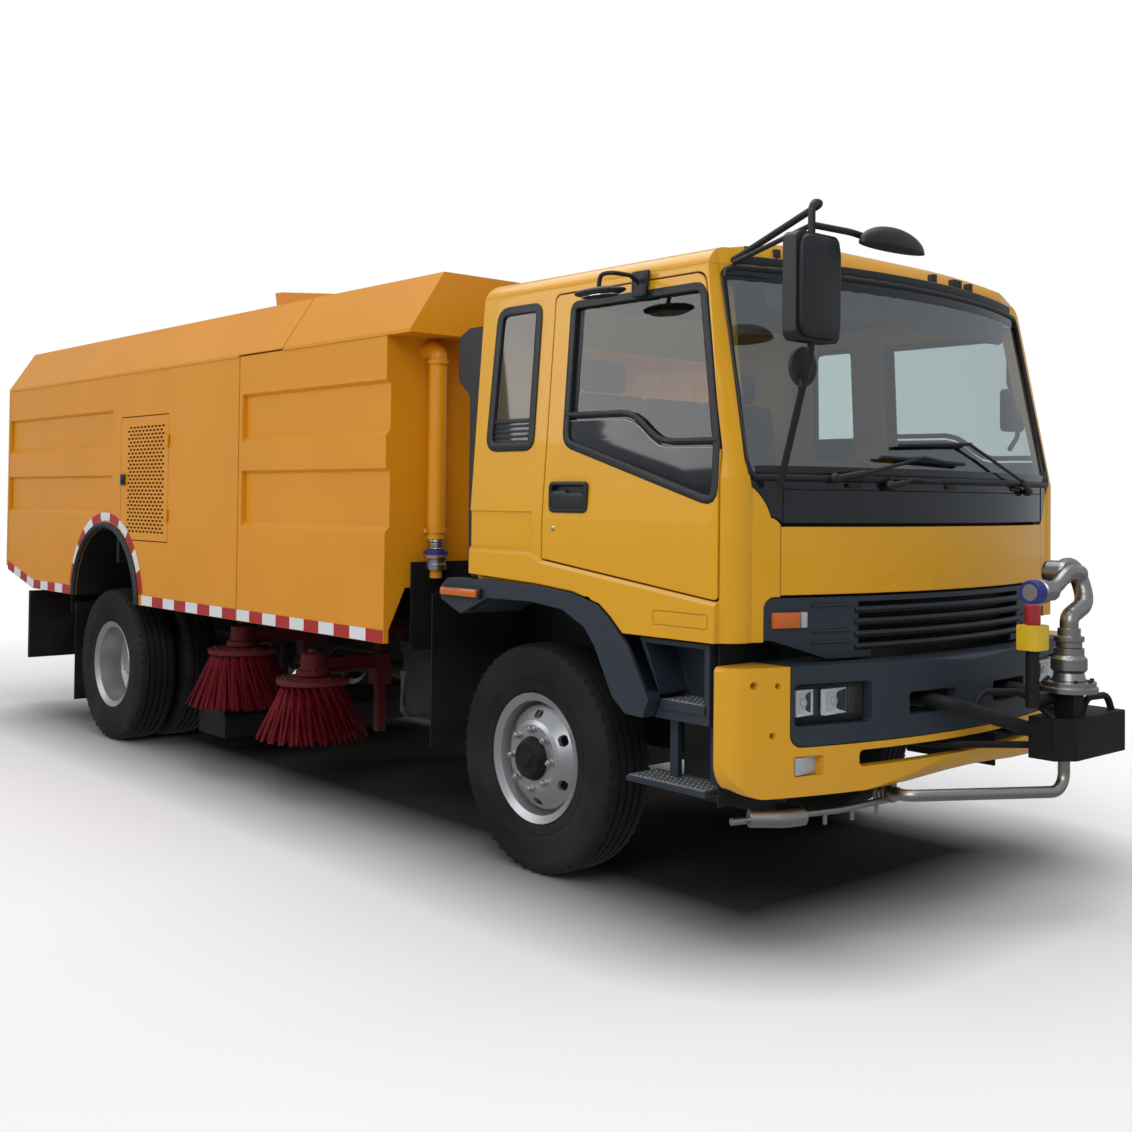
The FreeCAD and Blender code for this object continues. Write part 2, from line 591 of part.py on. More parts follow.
def cab_shell():
    """The cab's fixed sheet metal: walls, floor, sills and the door, window and arch cuts."""
    wall = shell("cab_wall", 0, num("skin"))
    floor = common("floor_pan", [block("floor_board", (-1165, 1165), (fa(-1135), fa(290)),
                                       ("cab_floor - 40", "cab_floor")),
                                 cab_form("floor_limit", 5)])
    sill = [(fa("cab_back_y"), 1303), (fa("cab_back_y"), 1416), (fa(-122), 1416), (fa(-190), 1384),
            (fa(-1187), 1267),
            (fa(-1187), "cab_low"), (fa(-700), "cab_low"), (fa(-630), 1181), (fa(-566), 1225),
            (fa(-404), 1266),
            (fa(-163), 1286)]
    sills = []
    for side, name in SIDES:
        low, high = span(side, "cab_half - skin", "cab_half + sill_out")
        face = num(high if side > 0 else low)
        slab = extrude("sill_slab_" + name, "X", sill, low, high)
        bevel = chamfer("sill_" + name, slab, lambda spot: abs(spot.x - face) < 1 and spot.z > 1300, 13)
        sills.append(bevel)
    arch = seen_from_side("arch_cut", [(fa(-700), 800), (fa(700), 800), (fa(700), 1249), (fa(-500), 1249),
                                       (fa(-700), "cab_low - 3")])
    arch_line = [(fa(-705), 800), (fa(500), 800), (fa(500), 1310), (fa(359), 1308), (fa(-163), 1285.5),
                 (fa(-404), 1265.5),
                 (fa(-566), 1224.5), (fa(-630), 1180.5), (fa(-705), "cab_low - 3")]
    holes = [seen_from_side("arch_%s_cut" % name, arch_line, *span(side, 1140, 1250)) for side,
             name in SIDES]
    holes += [seen_from_side("door_cut_" + name, door_outline(num("gap")), *span(side, 950, 1400))
              for side, name in SIDES]
    holes += [arch, seen_from_side("quarter_cut", quarter_outline(0)),
              seen_from_front("nose_cut", nose_opening(0)),
              block("roof_cut", (-1500, 1500), ("front_axle - 2400", "front_axle + 600"),
                    ("roof_split_z", "roof_split_z + 400")),
              block("under_cut", (-1500, 1500), ("front_axle - 2500", "front_axle + 600"),
                    (700, "cab_low")),
              extrude("rear_window_cut", "Y",
                      rounded([(-650, 1950), (650, 1950), (650, 2370), (-650, 2370)], 60),
                      fa(180), fa(480))]
    for side, name in SIDES:
        holes.append(block("rear_panel_press_" + name, span(side, "cab_half - 9", "cab_half + 20"),
                           (fa(-117), fa(330)), (1425, 1588)))
        flap = [(fa(-868), 1165), (fa(-868), 1222), (fa(-1155), 1222), (fa(-1155), 1165)]
        limits = span(side, "cab_half + sill_out - 3", "cab_half + sill_out + 5")
        ring = cut("flap_groove_" + name, extrude("flap_outer_" + name, "X", rounded(flap, 14), *limits),
                   [extrude("flap_inner_" + name, "X",
                            rounded([(fa(-872), 1169), (fa(-872), 1218), (fa(-1151), 1218),
                                     (fa(-1151), 1169)], 10), *limits)])
        holes.append(ring)
    return cut("cab_shell", fuse("cab_metal", [wall, floor] + sills), holes), wall


def doors():
    """Each door is a thick panel with its window, handle pocket and pane.

    Its inner foot is cut away at the hinge, where it swings over the rising sill.
    """
    thick = shell("door_wall", 0, num("door_thick"))
    pane = shell("door_pane", 18, 24)
    for side, name in SIDES:
        half = span(side, 0, 1500)
        slab = common("door_slab_" + name,
                      [thick, seen_from_side("door_edge_" + name, door_outline(0), *half)])
        cutters = [seen_from_side("door_window_" + name, window_outline(0), *half)]
        pocket = rounded([(fa(-238), 1592), (fa(-238), 1712), (fa(-465), 1712), (fa(-465), 1592)], 24)
        cutters.append(extrude("handle_pocket_" + name, "X", pocket,
                               *span(side, "cab_half - 24", "cab_half + 40")))
        foot = [(fa(-1190), 1240), (fa(-1075), 1240), (fa(-1075), 1298), (fa(-1190), 1285)]
        cutters.append(extrude("inner_foot_" + name, "X", foot, *span(side, 950, "cab_half - 18")))
        node(cut("door_" + name, slab, cutters))
        node(common("door_glass_" + name,
                    [pane, seen_from_side("pane_edge_" + name, window_outline(-0.4), *half)]))


def cab():
    metal, wall = cab_shell()
    node(metal)
    above = block("roof_keep", (-1500, 1500), ("front_axle - 2400", "front_axle + 600"),
                  ("roof_split_z + 0.5", "roof_split_z + 400"))
    node(common("cab_roof", [wall, above]))
    doors()
    glass = shell("front_pane", 3, 11)
    screen = mirror_points([(1070, "cab_belt + 4"), (1083, 1800), (1057, 2510, 60), (1017, 2543)])
    node(common("windshield", [glass, seen_from_front("screen_edge", screen)]))
    side_glass = shell("side_pane", 4, 12)
    panes = [common("quarter_pane_" + name,
                    [side_glass, seen_from_side("quarter_edge_" + name, quarter_outline(-0.4),
                                                *span(side, 900, 1400))])
             for side, name in SIDES]
    rear = extrude("rear_pane", "Y", rounded([(-647, 1953), (647, 1953), (647, 2367), (-647, 2367)], 57),
                   fa(290), fa(296))
    node(loose("cab_glass", panes + [rear]))
    skin = shell("nose_skin", 0, num("panel"))
    cowl = mirror_points([("lid_half - 2", 1563, -60), (983, 1585, -210), (1062, 1702),
                          (1073, "cab_belt - 1")])
    cowl_foot = block("cowl_keep", (-1300, 1300), ("front_axle - 2000", "front_axle - 800"), (1556, 1800))
    lid_edge = [("lid_half", "lid_low"), ("lid_half", 1549), (0, 1549)]
    panel = common("cowl_side", [skin, seen_from_front("cowl_edge", cowl), cowl_foot])
    node(panel, "cowl_panel")
    node(common("front_lid", [skin, seen_from_front("lid_edge", mirror_points(lid_edge[:2]))]))
    grille_edge = mirror_points([(735, "grille_low"), (975, 1122), (1008, 1124), (1008, 1238, 44),
                                 (964, 1281)])
    frame = common("grille_frame",
                   [shell("grille_wall", 4, 66), seen_from_front("grille_edge", grille_edge)])
    slots = [seen_from_front("grille_slot_%d" % low,
                             rounded([(-585, low), (575, low), (575, low + 24), (-585, low + 24)], 4))
             for low in (1098, 1146, 1194, 1236)]
    scoop = seen_from_front("grille_scoop", [(-520, "grille_low - 5"), (500, "grille_low - 5"),
                                             (500, 1080), (-520, 1080)])
    node(cut("grille", frame, slots + [scoop]))


def cab_inside():
    dash_side = rounded([(fa(-1200), 1400), (fa(-960), 1400), (fa(-900), 1560), (fa(-930), 1700),
                         (fa(-1200), 1690)], 30)
    dash = extrude("dash", "X", dash_side, -1030, 1030)
    hood = extrude("dash_hood", "X", rounded([(fa(-1150), 1660), (fa(-880), 1660), (fa(-870), 1760),
                                              (fa(-1100), 1730)], 20), 250, 720)
    column = rod("column", 30, 265, (480, fa(-905), 1640), "Y")
    wheel = doc.addObject("Part::Torus", "steering_ring")
    bind(wheel, Radius1=215, Radius2=15)
    wheel.Placement.Rotation = FreeCAD.Rotation(WAYS["X"], 65)
    at(wheel, 480, fa(-650), 1650)
    bar = block("steering_bar", (270, 690), (fa(-665), fa(-635)), (1635, 1665))
    node(fuse("dashboard", [dash, hood, column, wheel, bar]))
    seats = []
    for index, (place, wide) in enumerate(((-480, 240), (0, 170), (480, 240))):
        cushion = rounded([(fa(-420), 1450), (fa(90), 1450), (fa(90), 1560), (fa(-420), 1590)], 35)
        back = rounded([(fa(60), 1500), (fa(170), 1500), (fa(250), 2150), (fa(165), 2150)], 35)
        plinth = [(fa(-350), "cab_floor + 1"), (fa(60), "cab_floor + 1"), (fa(60), 1455),
                  (fa(-350), 1455)]
        seats.append(fuse("seat_%d" % index, [
            extrude("cushion_%d" % index, "X", cushion, place - wide, place + wide),
            extrude("backrest_%d" % index, "X", back, place - wide, place + wide),
            extrude("plinth_%d" % index, "X", plinth, place - wide + 50, place + wide - 50)]))
    node(loose("seats", seats))


def bumper_form(name, inset, low, high):
    """The bumper's outer form: bowed in plan, with rounded corners that meet its sides."""
    half = "(bumper_half - (%g))" % inset
    nose = "(front_axle + bumper_nose_y + (%g))" % inset
    bend = "bumper_corner"
    centre_x = "(%s - %s)" % (half, bend)
    drop = "sqrt((bow_radius - %s) ^ 2 - %s ^ 2)" % (bend, centre_x)
    reach = "(bow_radius / (bow_radius - %s))" % bend
    corner = ("%s * %s" % (centre_x, reach), "%s + bow_radius - %s * %s" % (nose, drop, reach))
    side_y = "%s + bow_radius - %s" % (nose, drop)
    end = "front_axle + bumper_end_y"
    plan = [(half, end), ("-" + half, end), ("-" + half, side_y, bend),
            ("-" + corner[0], corner[1], "bow_radius"),
            (corner[0], corner[1], bend), (half, side_y)]
    return extrude(name, "Z", plan, low, high)


def bumper():
    face = mirror_points([("bumper_half - 130", "bumper_low", 130), ("bumper_half", "bumper_low + 130"),
                          ("bumper_half", "bumper_high - 20", 20), ("bumper_half - 20", "bumper_high")])
    side = [(fa("bumper_nose_y + 70"), "bumper_low"), (fa("bumper_end_y + 9"), "bumper_low"),
            (fa("bumper_end_y + 9"), "bumper_high"), (fa("bumper_nose_y + 30"), "bumper_high", 30),
            (fa("bumper_nose_y - 1"), "bumper_high - 30"),
            (fa("bumper_nose_y - 1"), "bumper_low + 120", 150)]
    solid = common("bumper_solid", [bumper_form("bumper_out", 0, "bumper_low", "bumper_high"),
                                    extrude("bumper_face", "Y", face, "front_axle - 2000",
                                            "front_axle - 700"),
                                    extrude("bumper_side", "X", side, -1300, 1300)])
    hollow = bumper_form("bumper_in", num("bumper_wall"), "bumper_low - 60", "bumper_high - 14")
    outer = cut("bumper_wall_all", solid, [hollow])
    boundary = [(929, 735, 50), (979, 785), (979, 1140)]
    hole = seen_from_front("bumper_gate", mirror_points(boundary))
    slot = seen_from_front("lower_slot", rounded([(-675, 646), (675, 646), (675, 708), (-675, 708)], 20))
    holes = [rod("bolt_hole_%d" % index, radius, 900, (x, fa("-2000"), z), "Y") for index,
             (x, z, radius) in
             enumerate([(sign * x, z, radius) for x, z,
                        radius in ((1120, 971, 14), (1028, 966, 11), (1048, 785, 12))
                        for sign in (1, -1)])]
    fogs = [cut("fog_pocket_" + name, seen_from_front("fog_edge_" + name, rounded(
                [(side_x * a, z) for a, z in ((838, 630), (960, 630), (960, 702), (838, 702))][::side_x],
                                                                                  8)),
                [bumper_form("fog_back_" + name, 30, "bumper_low - 50", "bumper_high + 50")])
            for side_x, name in SIDES]
    node(cut("bumper", outer, [hole, slot] + holes + fogs))
    gate = seen_from_front("centre_gate", mirror_points([(929, 739, 46), (975, 785), (975, 1140)]))
    hooks = [seen_from_front("hook_hole_%d" % (a > 0),
                             rounded([(a, 824), (a + 285, 824), (a + 285, 910), (a, 910)], 14))
             for a in (-420, 135)]
    lamp_holes = [seen_from_front("lamp_hole_%d" % (a > 0),
                                  rounded([(a, 812), (a + 346, 812), (a + 346, 968), (a, 968)], 18))
                  for a in (-960, 614)]
    node(cut("bumper_centre", common("centre_plate", [outer, gate]), hooks + lamp_holes))
    deep = cut("lamp_depth", bumper_form("lamp_front", 18, 800, 975),
               [bumper_form("lamp_back", 48, 790, 985)])
    deeper = cut("lamp_rear", bumper_form("lamp_plate_front", 40, 800, 975),
                 [bumper_form("lamp_plate_back", 62, 790, 985)])
    lamps = []
    for sign, name in SIDES:
        lenses = [seen_from_front("lens_%s_%d" % (name, a), rounded(
            [(sign * a, 845), (sign * b, 845), (sign * b, 947), (sign * a, 947)][::sign], 10)) for a,
                  b in ((684, 837), (849, 950))]
        plate = common("lamp_plate_" + name, [deeper, seen_from_front("plate_edge_" + name, rounded(
            [(sign * 617, 815), (sign * 957, 815), (sign * 957, 965), (sign * 617, 965)][::sign], 15))])
        lit = common("lens_pair_" + name, [deep, fuse("lens_edges_" + name, lenses)])
        lamps.append(fuse("headlamp_" + name, [lit, plate]))
    node(loose("headlamps", lamps))


def steps_and_fenders():
    """Arch flares with liners and mud flaps, and the steps between them and the bumper."""
    flare = [(fa(352), 1120), (fa(499), 1180), (fa(503), 1239), (fa(448), 1279), (fa(159), 1283),
             (fa(-163), 1278), (fa(-404), 1258),
             (fa(-562), 1218), (fa(-624), 1172), (fa(-735), 1070), (fa(-856), 873), (fa(-824), 802),
             (fa(-727), 806),
             (fa(-652), 865), (fa(-546), 1055), (fa(-481), 1126), (fa(-347), 1187), (fa(-139), 1207),
             (fa(157), 1203)]
    liner = [(fa(352), 1120), (fa(499), 1180), (fa(499), 1215), (fa(157), 1243), (fa(-139), 1246),
             (fa(-380), 1222), (fa(-520), 1150),
             (fa(-586), 1066), (fa(-700), 872), (fa(-668), 852), (fa(-546), 1055), (fa(-481), 1126),
             (fa(-347), 1187),
             (fa(-139), 1207), (fa(157), 1203)]
    band = extrude("flare", "X", flare, 1140, "cab_half + 21")
    trimmed = cut("flare_trimmed", band, [cab_form("fender_limit", -2)])
    lining = extrude("liner", "X", liner, 860, 1141)
    left = fuse("fender_left", [trimmed, lining])
    node(both("fenders", left))
    outline = [(fa(-744), 1105), (fa(-866), 877), (fa(-834), 800), (fa(-1118), 800), (fa(-1118), 1105)]
    housing = extrude("step_housing", "X", outline[::-1], 820, 1150)
    pocket = extrude("step_pocket", "X", [(fa(-868), 870), (fa(-1092), 870), (fa(-1092), 1085),
                                          (fa(-776), 1085)][::-1], 985, 1300)
    tread = block("upper_tread", (960, 1158), (fa(-1100), fa(-874)), (838, 872))
    plate = extrude("lower_tread", "X", rounded([(fa(-1115), 534), (fa(-690), 534), (fa(-690), 556),
                                                 (fa(-1115), 556)], 8), 985, 1165)
    hangers = [extrude("step_hanger_%d" % index, "X",
                       [(fa(place), 540), (fa(place + 42), 540), (fa(place + 42), 810), (fa(place), 810)],
                       1040, 1064)
               for index, place in enumerate((-1090, -876))]
    node(both("cab_steps",
              fuse("steps_left", [cut("housing_cut", housing, [pocket]), tread, plate] + hangers)))


def mirrors():
    """Bent tubes with the kerb-side and oval nose mirrors, and the other door's own mirror."""
    clear = cab_form("mirror_limit", -0.5)
    x = "mirror_x"
    arm = feature("right_tube",
                  pipe([(-1000, fa(-1085), 2570), (-1120, fa(-1600), 2690), ("-" + x, fa(-1620), 2680),
                                      ("-" + x, fa(-1620), 2160), (-1010, fa(-1330), 1700)], 13))
    head = extrude("right_head", "Y", rounded([("-%s - 120" % x, 2192), ("-%s + 120" % x, 2192),
                                               ("-%s + 120" % x, 2566), ("-%s - 120" % x, 2566)], 34),
                   fa(-1650), fa(-1592))
    nose_arm = feature("nose_arm", pipe([("-" + x, fa(-1620), 2600), (-1060, fa(-1680), 2585),
                                         (-930, fa(-1720), 2560)], 12))
    wide = doc.addObject("Part::Ellipsoid", "oval_head")
    wide.Angle1 = 0
    bind(wide, Radius1=76, Radius2=188, Radius3=46)
    at(wide, -870, fa(-1720), 2546)
    node(cut("mirrors", fuse("right_parts", [arm, head, nose_arm, wide]), [clear]))
    loop = feature("left_tube",
                   pipe([(1060, fa(-960), 2500), (1262, fa(-930), 2508), (1262, fa(-930), 2250),
                                      (1348, fa(-930), 2170), (1348, fa(-930), 1985),
                         (1120, fa(-1010), 1900)], 12, 1.6))
    pane = extrude("left_head", "Y", rounded([(1222, 2010), (1358, 2010), (1358, 2225), (1222, 2225)],
                                             30), fa(-962), fa(-905))
    node(cut("door_mirror_left", fuse("left_parts", [loop, pane]), [clear]))


# ---------------------------------------------------------------- body
def body_section(inset, low_z):
    """The body's front view: upright sides, sloped roof band and flat roof."""
    return mirror_points([("body_half - %g" % inset, low_z),
                          ("body_half - %g" % inset, "body_side_top - %g" % (inset * 0.5)),
                          ("band_half - %g" % (inset * 0.7), "body_top - %g" % inset)])


def rib_cutters(name, spans, low, high):
    """Pressed channels along both sides: a steep upper edge and a broad sloped lower one."""
    made = []
    for index, (low_z, high_z) in enumerate(spans):
        section = [("body_half + 1", low_z - 24), ("body_half + 1", high_z + 9),
                   ("body_half - rib_depth", high_z - 5),
                   ("body_half - rib_depth", low_z + 6)]
        channel = extrude("%s_%d" % (name, index), "Y", section, low, high)
        made += [channel, mirrored("%s_%d_mirror" % (name, index), channel)]
    return made


def tank_body():
    """The water tank ahead of the hopper, with skirts and corner gussets below it."""
    front = fa("tank_front_y")
    back = fa("split_y - 5")
    core = extrude("tank_core", "Y", mirror_points([("body_half", "tank_floor"),
                                                    ("body_half", "body_side_top - 12")]), front, back)
    crown = mirror_points([("body_half + 5", "body_side_top - 16"), ("body_half + 5", "body_side_top"),
                           ("band_half", "body_top")])
    band = extrude("tank_band", "Y", crown, fa("band_front_y"), fa("band_split_y - 5"))
    pieces = [core, band]
    for side, name in SIDES:
        pieces.append(block("tank_skirt_" + name, span(side, "body_half - 30", "body_half"),
                            (front, back), ("body_bottom", "tank_floor + 5")))
        gusset = [("body_half", "body_bottom"), ("body_half", "tank_floor + 5"),
                  ("body_half - 125", "tank_floor + 5")]
        corner = extrude("tank_gusset_" + name, "Y", gusset, front, fa("tank_front_y + 30"))
        pieces.append(corner if side > 0 else mirrored("tank_gusset_mirror", corner))
    pieces.append(extrude("roof_fairing", "X",
                          [(fa(1290), "body_top - 1"), (fa(1925), "body_top - 1"),
                           (fa(1925), "body_top + 12"), (fa(1330), "body_top + 12")], -780, 780))
    node(cut("tank_body", fuse("tank_metal", pieces),
             rib_cutters("tank_rib", ((1970, 2208), (1495, 1776)), fa("tank_front_y - 20"),
                         fa("split_y - 40"))))


def hopper():
    """The tipping hopper: a hollow box with a bulkhead, engine bay, wheel arches and lugs."""
    front = fa("split_y + 5")
    band_front = fa("band_split_y + 5")
    back = fa("body_back_y")
    outer = extrude("hopper_out", "Y", body_section(0, "body_bottom"), front, back)
    crown = mirror_points([("body_half + 5", "body_side_top - 16"), ("body_half + 5", "body_side_top"),
                           ("band_half", "body_top")])
    lip = extrude("hopper_band", "Y", crown, front, back)
    upper = mirror_points([("body_half + 5", "body_side_top - 4"), ("body_half + 5", "body_side_top"),
                           ("band_half", "body_top")])
    fore = extrude("hopper_band_fore", "Y", upper, band_front, front + " + 5")
    low = "hopper_floor + sheet_metal"
    inner = extrude("hopper_in", "Y", body_section(num("sheet_metal"), low),
                    fa("split_y + 5 + sheet_metal"), fa("body_back_y + 10"))
    roof_line = mirror_points([("body_half - 62", "body_side_top + sheet_metal"),
                               ("band_half - 22", "body_top - sheet_metal - 1")])
    crown_in = extrude("crown_in", "Y", roof_line, fa("band_split_y + 5 + sheet_metal"),
                       fa("split_y + 6 + sheet_metal"))
    inside = ("sheet_metal - body_half", "body_half - sheet_metal")
    below = block("below_floor", inside, (fa("split_y - 5"), fa("body_back_y + 10")),
                  (900, "hopper_floor"))
    bay = block("bay_floor", inside, (front + " + sheet_metal", fa(4115)), (1000, low + " + 5"))
    arch = [(fa(3786), 900), (fa(4810), 900), (fa(4810), 934, 513), (fa(3786), 934)]
    tail = [(fa(5628), 900), (fa(6240), 900), (fa(6240), 1068), (fa(5628), 934)]
    window = block("engine_hatch", (-1300, -1100), (fa(3340), fa(4060)), (1344, 2151))
    cutters = [inner, crown_in, below, bay, seen_from_side("wheel_arch", arch, -1300, 1300),
               seen_from_side("tail_slope", tail, -1300, 1300), window]
    cutters += rib_cutters("hopper_rib", ((1970, 2195), (1525, 1760)), fa(4200), fa("body_back_y + 5"))
    hull = cut("hopper_hull", fuse("hopper_metal", [outer, lip, fore]), cutters)
    wall = common("bulkhead", [block("bulk_plate", ("-body_half + 25", "body_half - 25"),
                                     (fa(4120), fa(4150)), ("hopper_floor", "body_top - 20")),
                               extrude("bulk_limit", "Y", body_section(20, "hopper_floor"), fa(4100),
                                       fa(4200))])
    fairing = extrude("hump", "X", [(fa(1985), "body_top - 5"), (fa(2790), "body_top - 5"),
                                    (fa(2830), "body_top + 150"), (fa(2750), "body_top + 148"),
                                    (fa(2050), "body_top + 62")], -800, 800)
    lug = [(fa("tip_y - 45"), "tip_z", 46), (fa("tip_y + 45"), "tip_z"),
           (fa("tip_y + 75"), "hopper_floor + 5"), (fa("tip_y - 75"), "hopper_floor + 5")]
    lugs = [seen_from_side("tip_ear_%d" % (low_x > 0), lug, low_x, low_x + 100) for low_x in (-270, 170)]
    eye = [(fa("lift_head_y - 34"), "lift_head_z", 35), (fa("lift_head_y + 34"), "lift_head_z"),
           (fa("lift_head_y + 60"), "hopper_floor + 5"),
           (fa("lift_head_y - 60"), "hopper_floor + 5")]
    lugs += [seen_from_side("lift_ear_%d" % (low_x > 0), eye, low_x, low_x + 20) for low_x in (-74, 54)]
    for index, place in enumerate((-720, -240, 240, 720)):
        ear = [(fa("body_back_y - 120"), "body_top - 4"), (fa("door_hinge_y - 4"), "body_top + 2"),
               (fa("door_hinge_y + 13.5"), "door_hinge_z", 14),
               (fa("door_hinge_y"), "door_hinge_z + 14"), (fa("body_back_y - 120"), "body_top + 14")]
        lugs.append(seen_from_side("hinge_ear_%d" % index, ear, place - 22, place + 22))
    lugs.append(rod("tip_tube", 27.4, 860, (-430, fa("tip_y"), "tip_z"), "X"))
    node(fuse("hopper_shell", [hull, wall, fairing] + lugs))


def grille_door():
    """The engine hatch: a framed sheet with staggered rows of slots, hinges and a latch plate."""
    panel = block("hatch_panel", (-1240, -1214), (fa(3346), fa(4054)), (1350, 2145))
    recess = block("hatch_recess", (-1236, -1200), (fa(3386), fa(4014)), (1384, 2111))
    rows, columns, pitch_z, pitch_y = 29, 10, 24, 54
    slots = []
    for row in range(rows):
        for column in range(columns):
            y = num(fa(3406 + (column + 0.5 * (row % 2)) * pitch_y))
            slots.append(Part.makeBox(20, 34, 12, FreeCAD.Vector(-1250, y, 1399 + row * pitch_z)))
    slotted = cut("hatch_slotted", cut("hatch_frame", panel, [recess]),
                  [feature("hatch_slots", Part.makeCompound(slots))])
    barrels = [rod("hatch_hinge_%d" % low, 8, 70, (-1249, fa(3338), low), "Z") for low in (1480, 1945)]
    tabs = [block("hatch_tab_%d" % low, (-1251, -1239), (fa(3342), fa(3372)), (low, low + 70))
            for low in (1480, 1945)]
    latch = block("hatch_latch", (-1246, -1238), (fa(3960), fa(4040)), (1700, 1780))
    node(fuse("grille_door", [slotted, latch] + barrels + tabs))


def rear_door():
    """The hopper's rear door: a sheet with raised ribs, hung from knuckles on the roof edge."""
    sheet_back = fa("body_back_y + 36")
    leaf = extrude("rear_leaf", "Y", body_section(0, 1080), fa("body_back_y + 6"), sheet_back)
    pieces = [leaf]
    for index, level in enumerate((1120, 1560, 2000, 2400)):
        pieces.append(block("rear_rib_%d" % index, (-1190, 1190),
                            (sheet_back + " - 1", fa("body_back_y + 58")), (level, level + 70)))
    for index, place in enumerate((-1160, -420, 340, 1080)):
        pieces.append(block("rear_post_%d" % index, (place, place + 80),
                            (sheet_back + " - 1", fa("body_back_y + 56")), (1120, 2440)))
    knuckle = [(fa("body_back_y + 10"), "body_top - 70"), (fa("body_back_y + 44"), "body_top - 70"),
               (fa("door_hinge_y + 13.5"), "door_hinge_z", 14),
               (fa("door_hinge_y - 13.5"), "door_hinge_z")]
    for index, place in enumerate((-688, -208, 272, 752)):
        pieces.append(seen_from_side("rear_knuckle_%d" % index, knuckle, place, place + 40))
    node(fuse("rear_door", pieces))


def lift_cylinder():
    """The tipping cylinder: a bored barrel on its foot pin, and a rod with its eye."""
    foot = FreeCAD.Vector(0, num(fa("lift_foot_y")), num("lift_foot_z"))
    head = FreeCAD.Vector(0, num(fa("lift_head_y")), num("lift_head_z"))
    way = (head - foot).normalize()
    barrel = feature("lift_tube", Part.makeCylinder(60, 880, foot + way * 50, way))
    bore = feature("lift_bore", Part.makeCylinder(41, 931, foot + way * 80, way))
    eye = rod("lift_eye", 52, 100, (-50, fa("lift_foot_y"), "lift_foot_z"), "X")
    pin_hole = rod("lift_pin_hole", 21, 120, (-60, fa("lift_foot_y"), "lift_foot_z"), "X")
    node(cut("lift_barrel", fuse("lift_outer", [barrel, eye]), [bore, pin_hole]))
    stem = feature("lift_stem", Part.makeCylinder(40, 1010, foot + way * 100, way))
    tip = rod("lift_rod_eye", 34, 88, (-44, fa("lift_head_y"), "lift_head_z"), "X")
    hole = rod("lift_rod_hole", 20, 120, (-60, fa("lift_head_y"), "lift_head_z"), "X")
    node(cut("lift_rod", fuse("lift_stem_eye", [stem, tip]), [hole]))


def pipework():
    """The filling pipe on the tank's front wall with its hose coupling, and the air intake."""
    front = fa("tank_front_y")
    out = fa("tank_front_y - 92")
    drop = feature("fill_pipe", pipe([("pipe_x", front, 2372), ("pipe_x", out, 2372),
                                      ("pipe_x", out, 1440)], 45, 1.2))
    clamp = [rod("pipe_clamp_%d" % level, 52, 22, ("pipe_x", out, level), "Z") for level in (1470, 2300)]
    stay = block("pipe_stay", ("pipe_x - 12", "pipe_x + 12"), (out, front + " + 0"), (1472, 1490))
    coupling = lathe("coupling", "Z", [(0, 1250), (30, 1250), (30, 1292), (42, 1296), (42, 1330),
                                       (34, 1334), (34, 1352), (56, 1356),
                                       (56, 1378), (36, 1382), (36, 1441), (0, 1441)], ("pipe_x", out, 0))
    node(fuse("body_pipe", [drop, stay, coupling] + clamp))
    stack = rounded([(fa(348), 1280), (fa(470), 1280), (fa(470), 2120), (fa(560), 2200), (fa(560), 2400),
                     (fa(480), 2440), (fa(348), 2440)], 40)
    node(extrude("intake_stack", "X", stack, -1080, -930))


def rear_gear():
    """The underrun bar with lamp plates, the mud flaps, and the suction hood with its duct."""
    plates = [block("lamp_plate_rear_" + name, span(side, 850, 1200), (fa(5780), fa(5820)), (400, 905))
              for side, name in SIDES]
    bar = extrude("underrun_bar", "X", rounded([(fa(5790), 420), (fa(5850), 420), (fa(5850), 530),
                                                (fa(5790), 530)], 12), -1000, 1000)
    legs = [block("underrun_leg_" + name, span(side, 362, 420), (fa(5795), fa(5845)), (525, 689.5))
            for side, name in SIDES]
    guard = fuse("underrun", plates + [bar] + legs)
    flaps = [block("rear_flap_" + name, span(side, 640, 1200), (fa(4888), fa(4896)), (190, 880)) for side,
             name in SIDES]
    hangers = [block("flap_bar_" + name, span(side, 430.5, 1200), (fa(4880), fa(4888.5)), (820, 880))
               for side, name in SIDES]
    node(loose("rear_guard",
               [guard] + [fuse("mud_flap_" + name, [flap, bar_piece]) for flap, bar_piece, (_, name)
                                        in zip(flaps, hangers, SIDES)]))
    hood = [(fa(3200), 120), (fa(3560), 120), (fa(3560), 250), (fa(3500), 330), (fa(3260), 330),
            (fa(3200), 250)]
    mouth = [(fa(3212), 110), (fa(3548), 110), (fa(3548), 245), (fa(3494), 318), (fa(3266), 318),
             (fa(3212), 245)]
    outer = extrude("hood_outer", "X", hood, -900, 900)
    inner = extrude("hood_inner", "X", mouth, -888, 888)
    duct = rod("duct_outer", 100, 855, (640, fa(3380), 325), "Z")
    throat = rod("duct_inner", 92, 900, (640, fa(3380), 300), "Z")
    stays = [block("hood_stay_" + name, span(side, 370, 410), (fa(3360), fa(3400)), (325, 689.5))
             for side, name in SIDES]
    node(cut("suction_nozzle", fuse("hood_parts", [outer, duct] + stays), [inner, throat]))


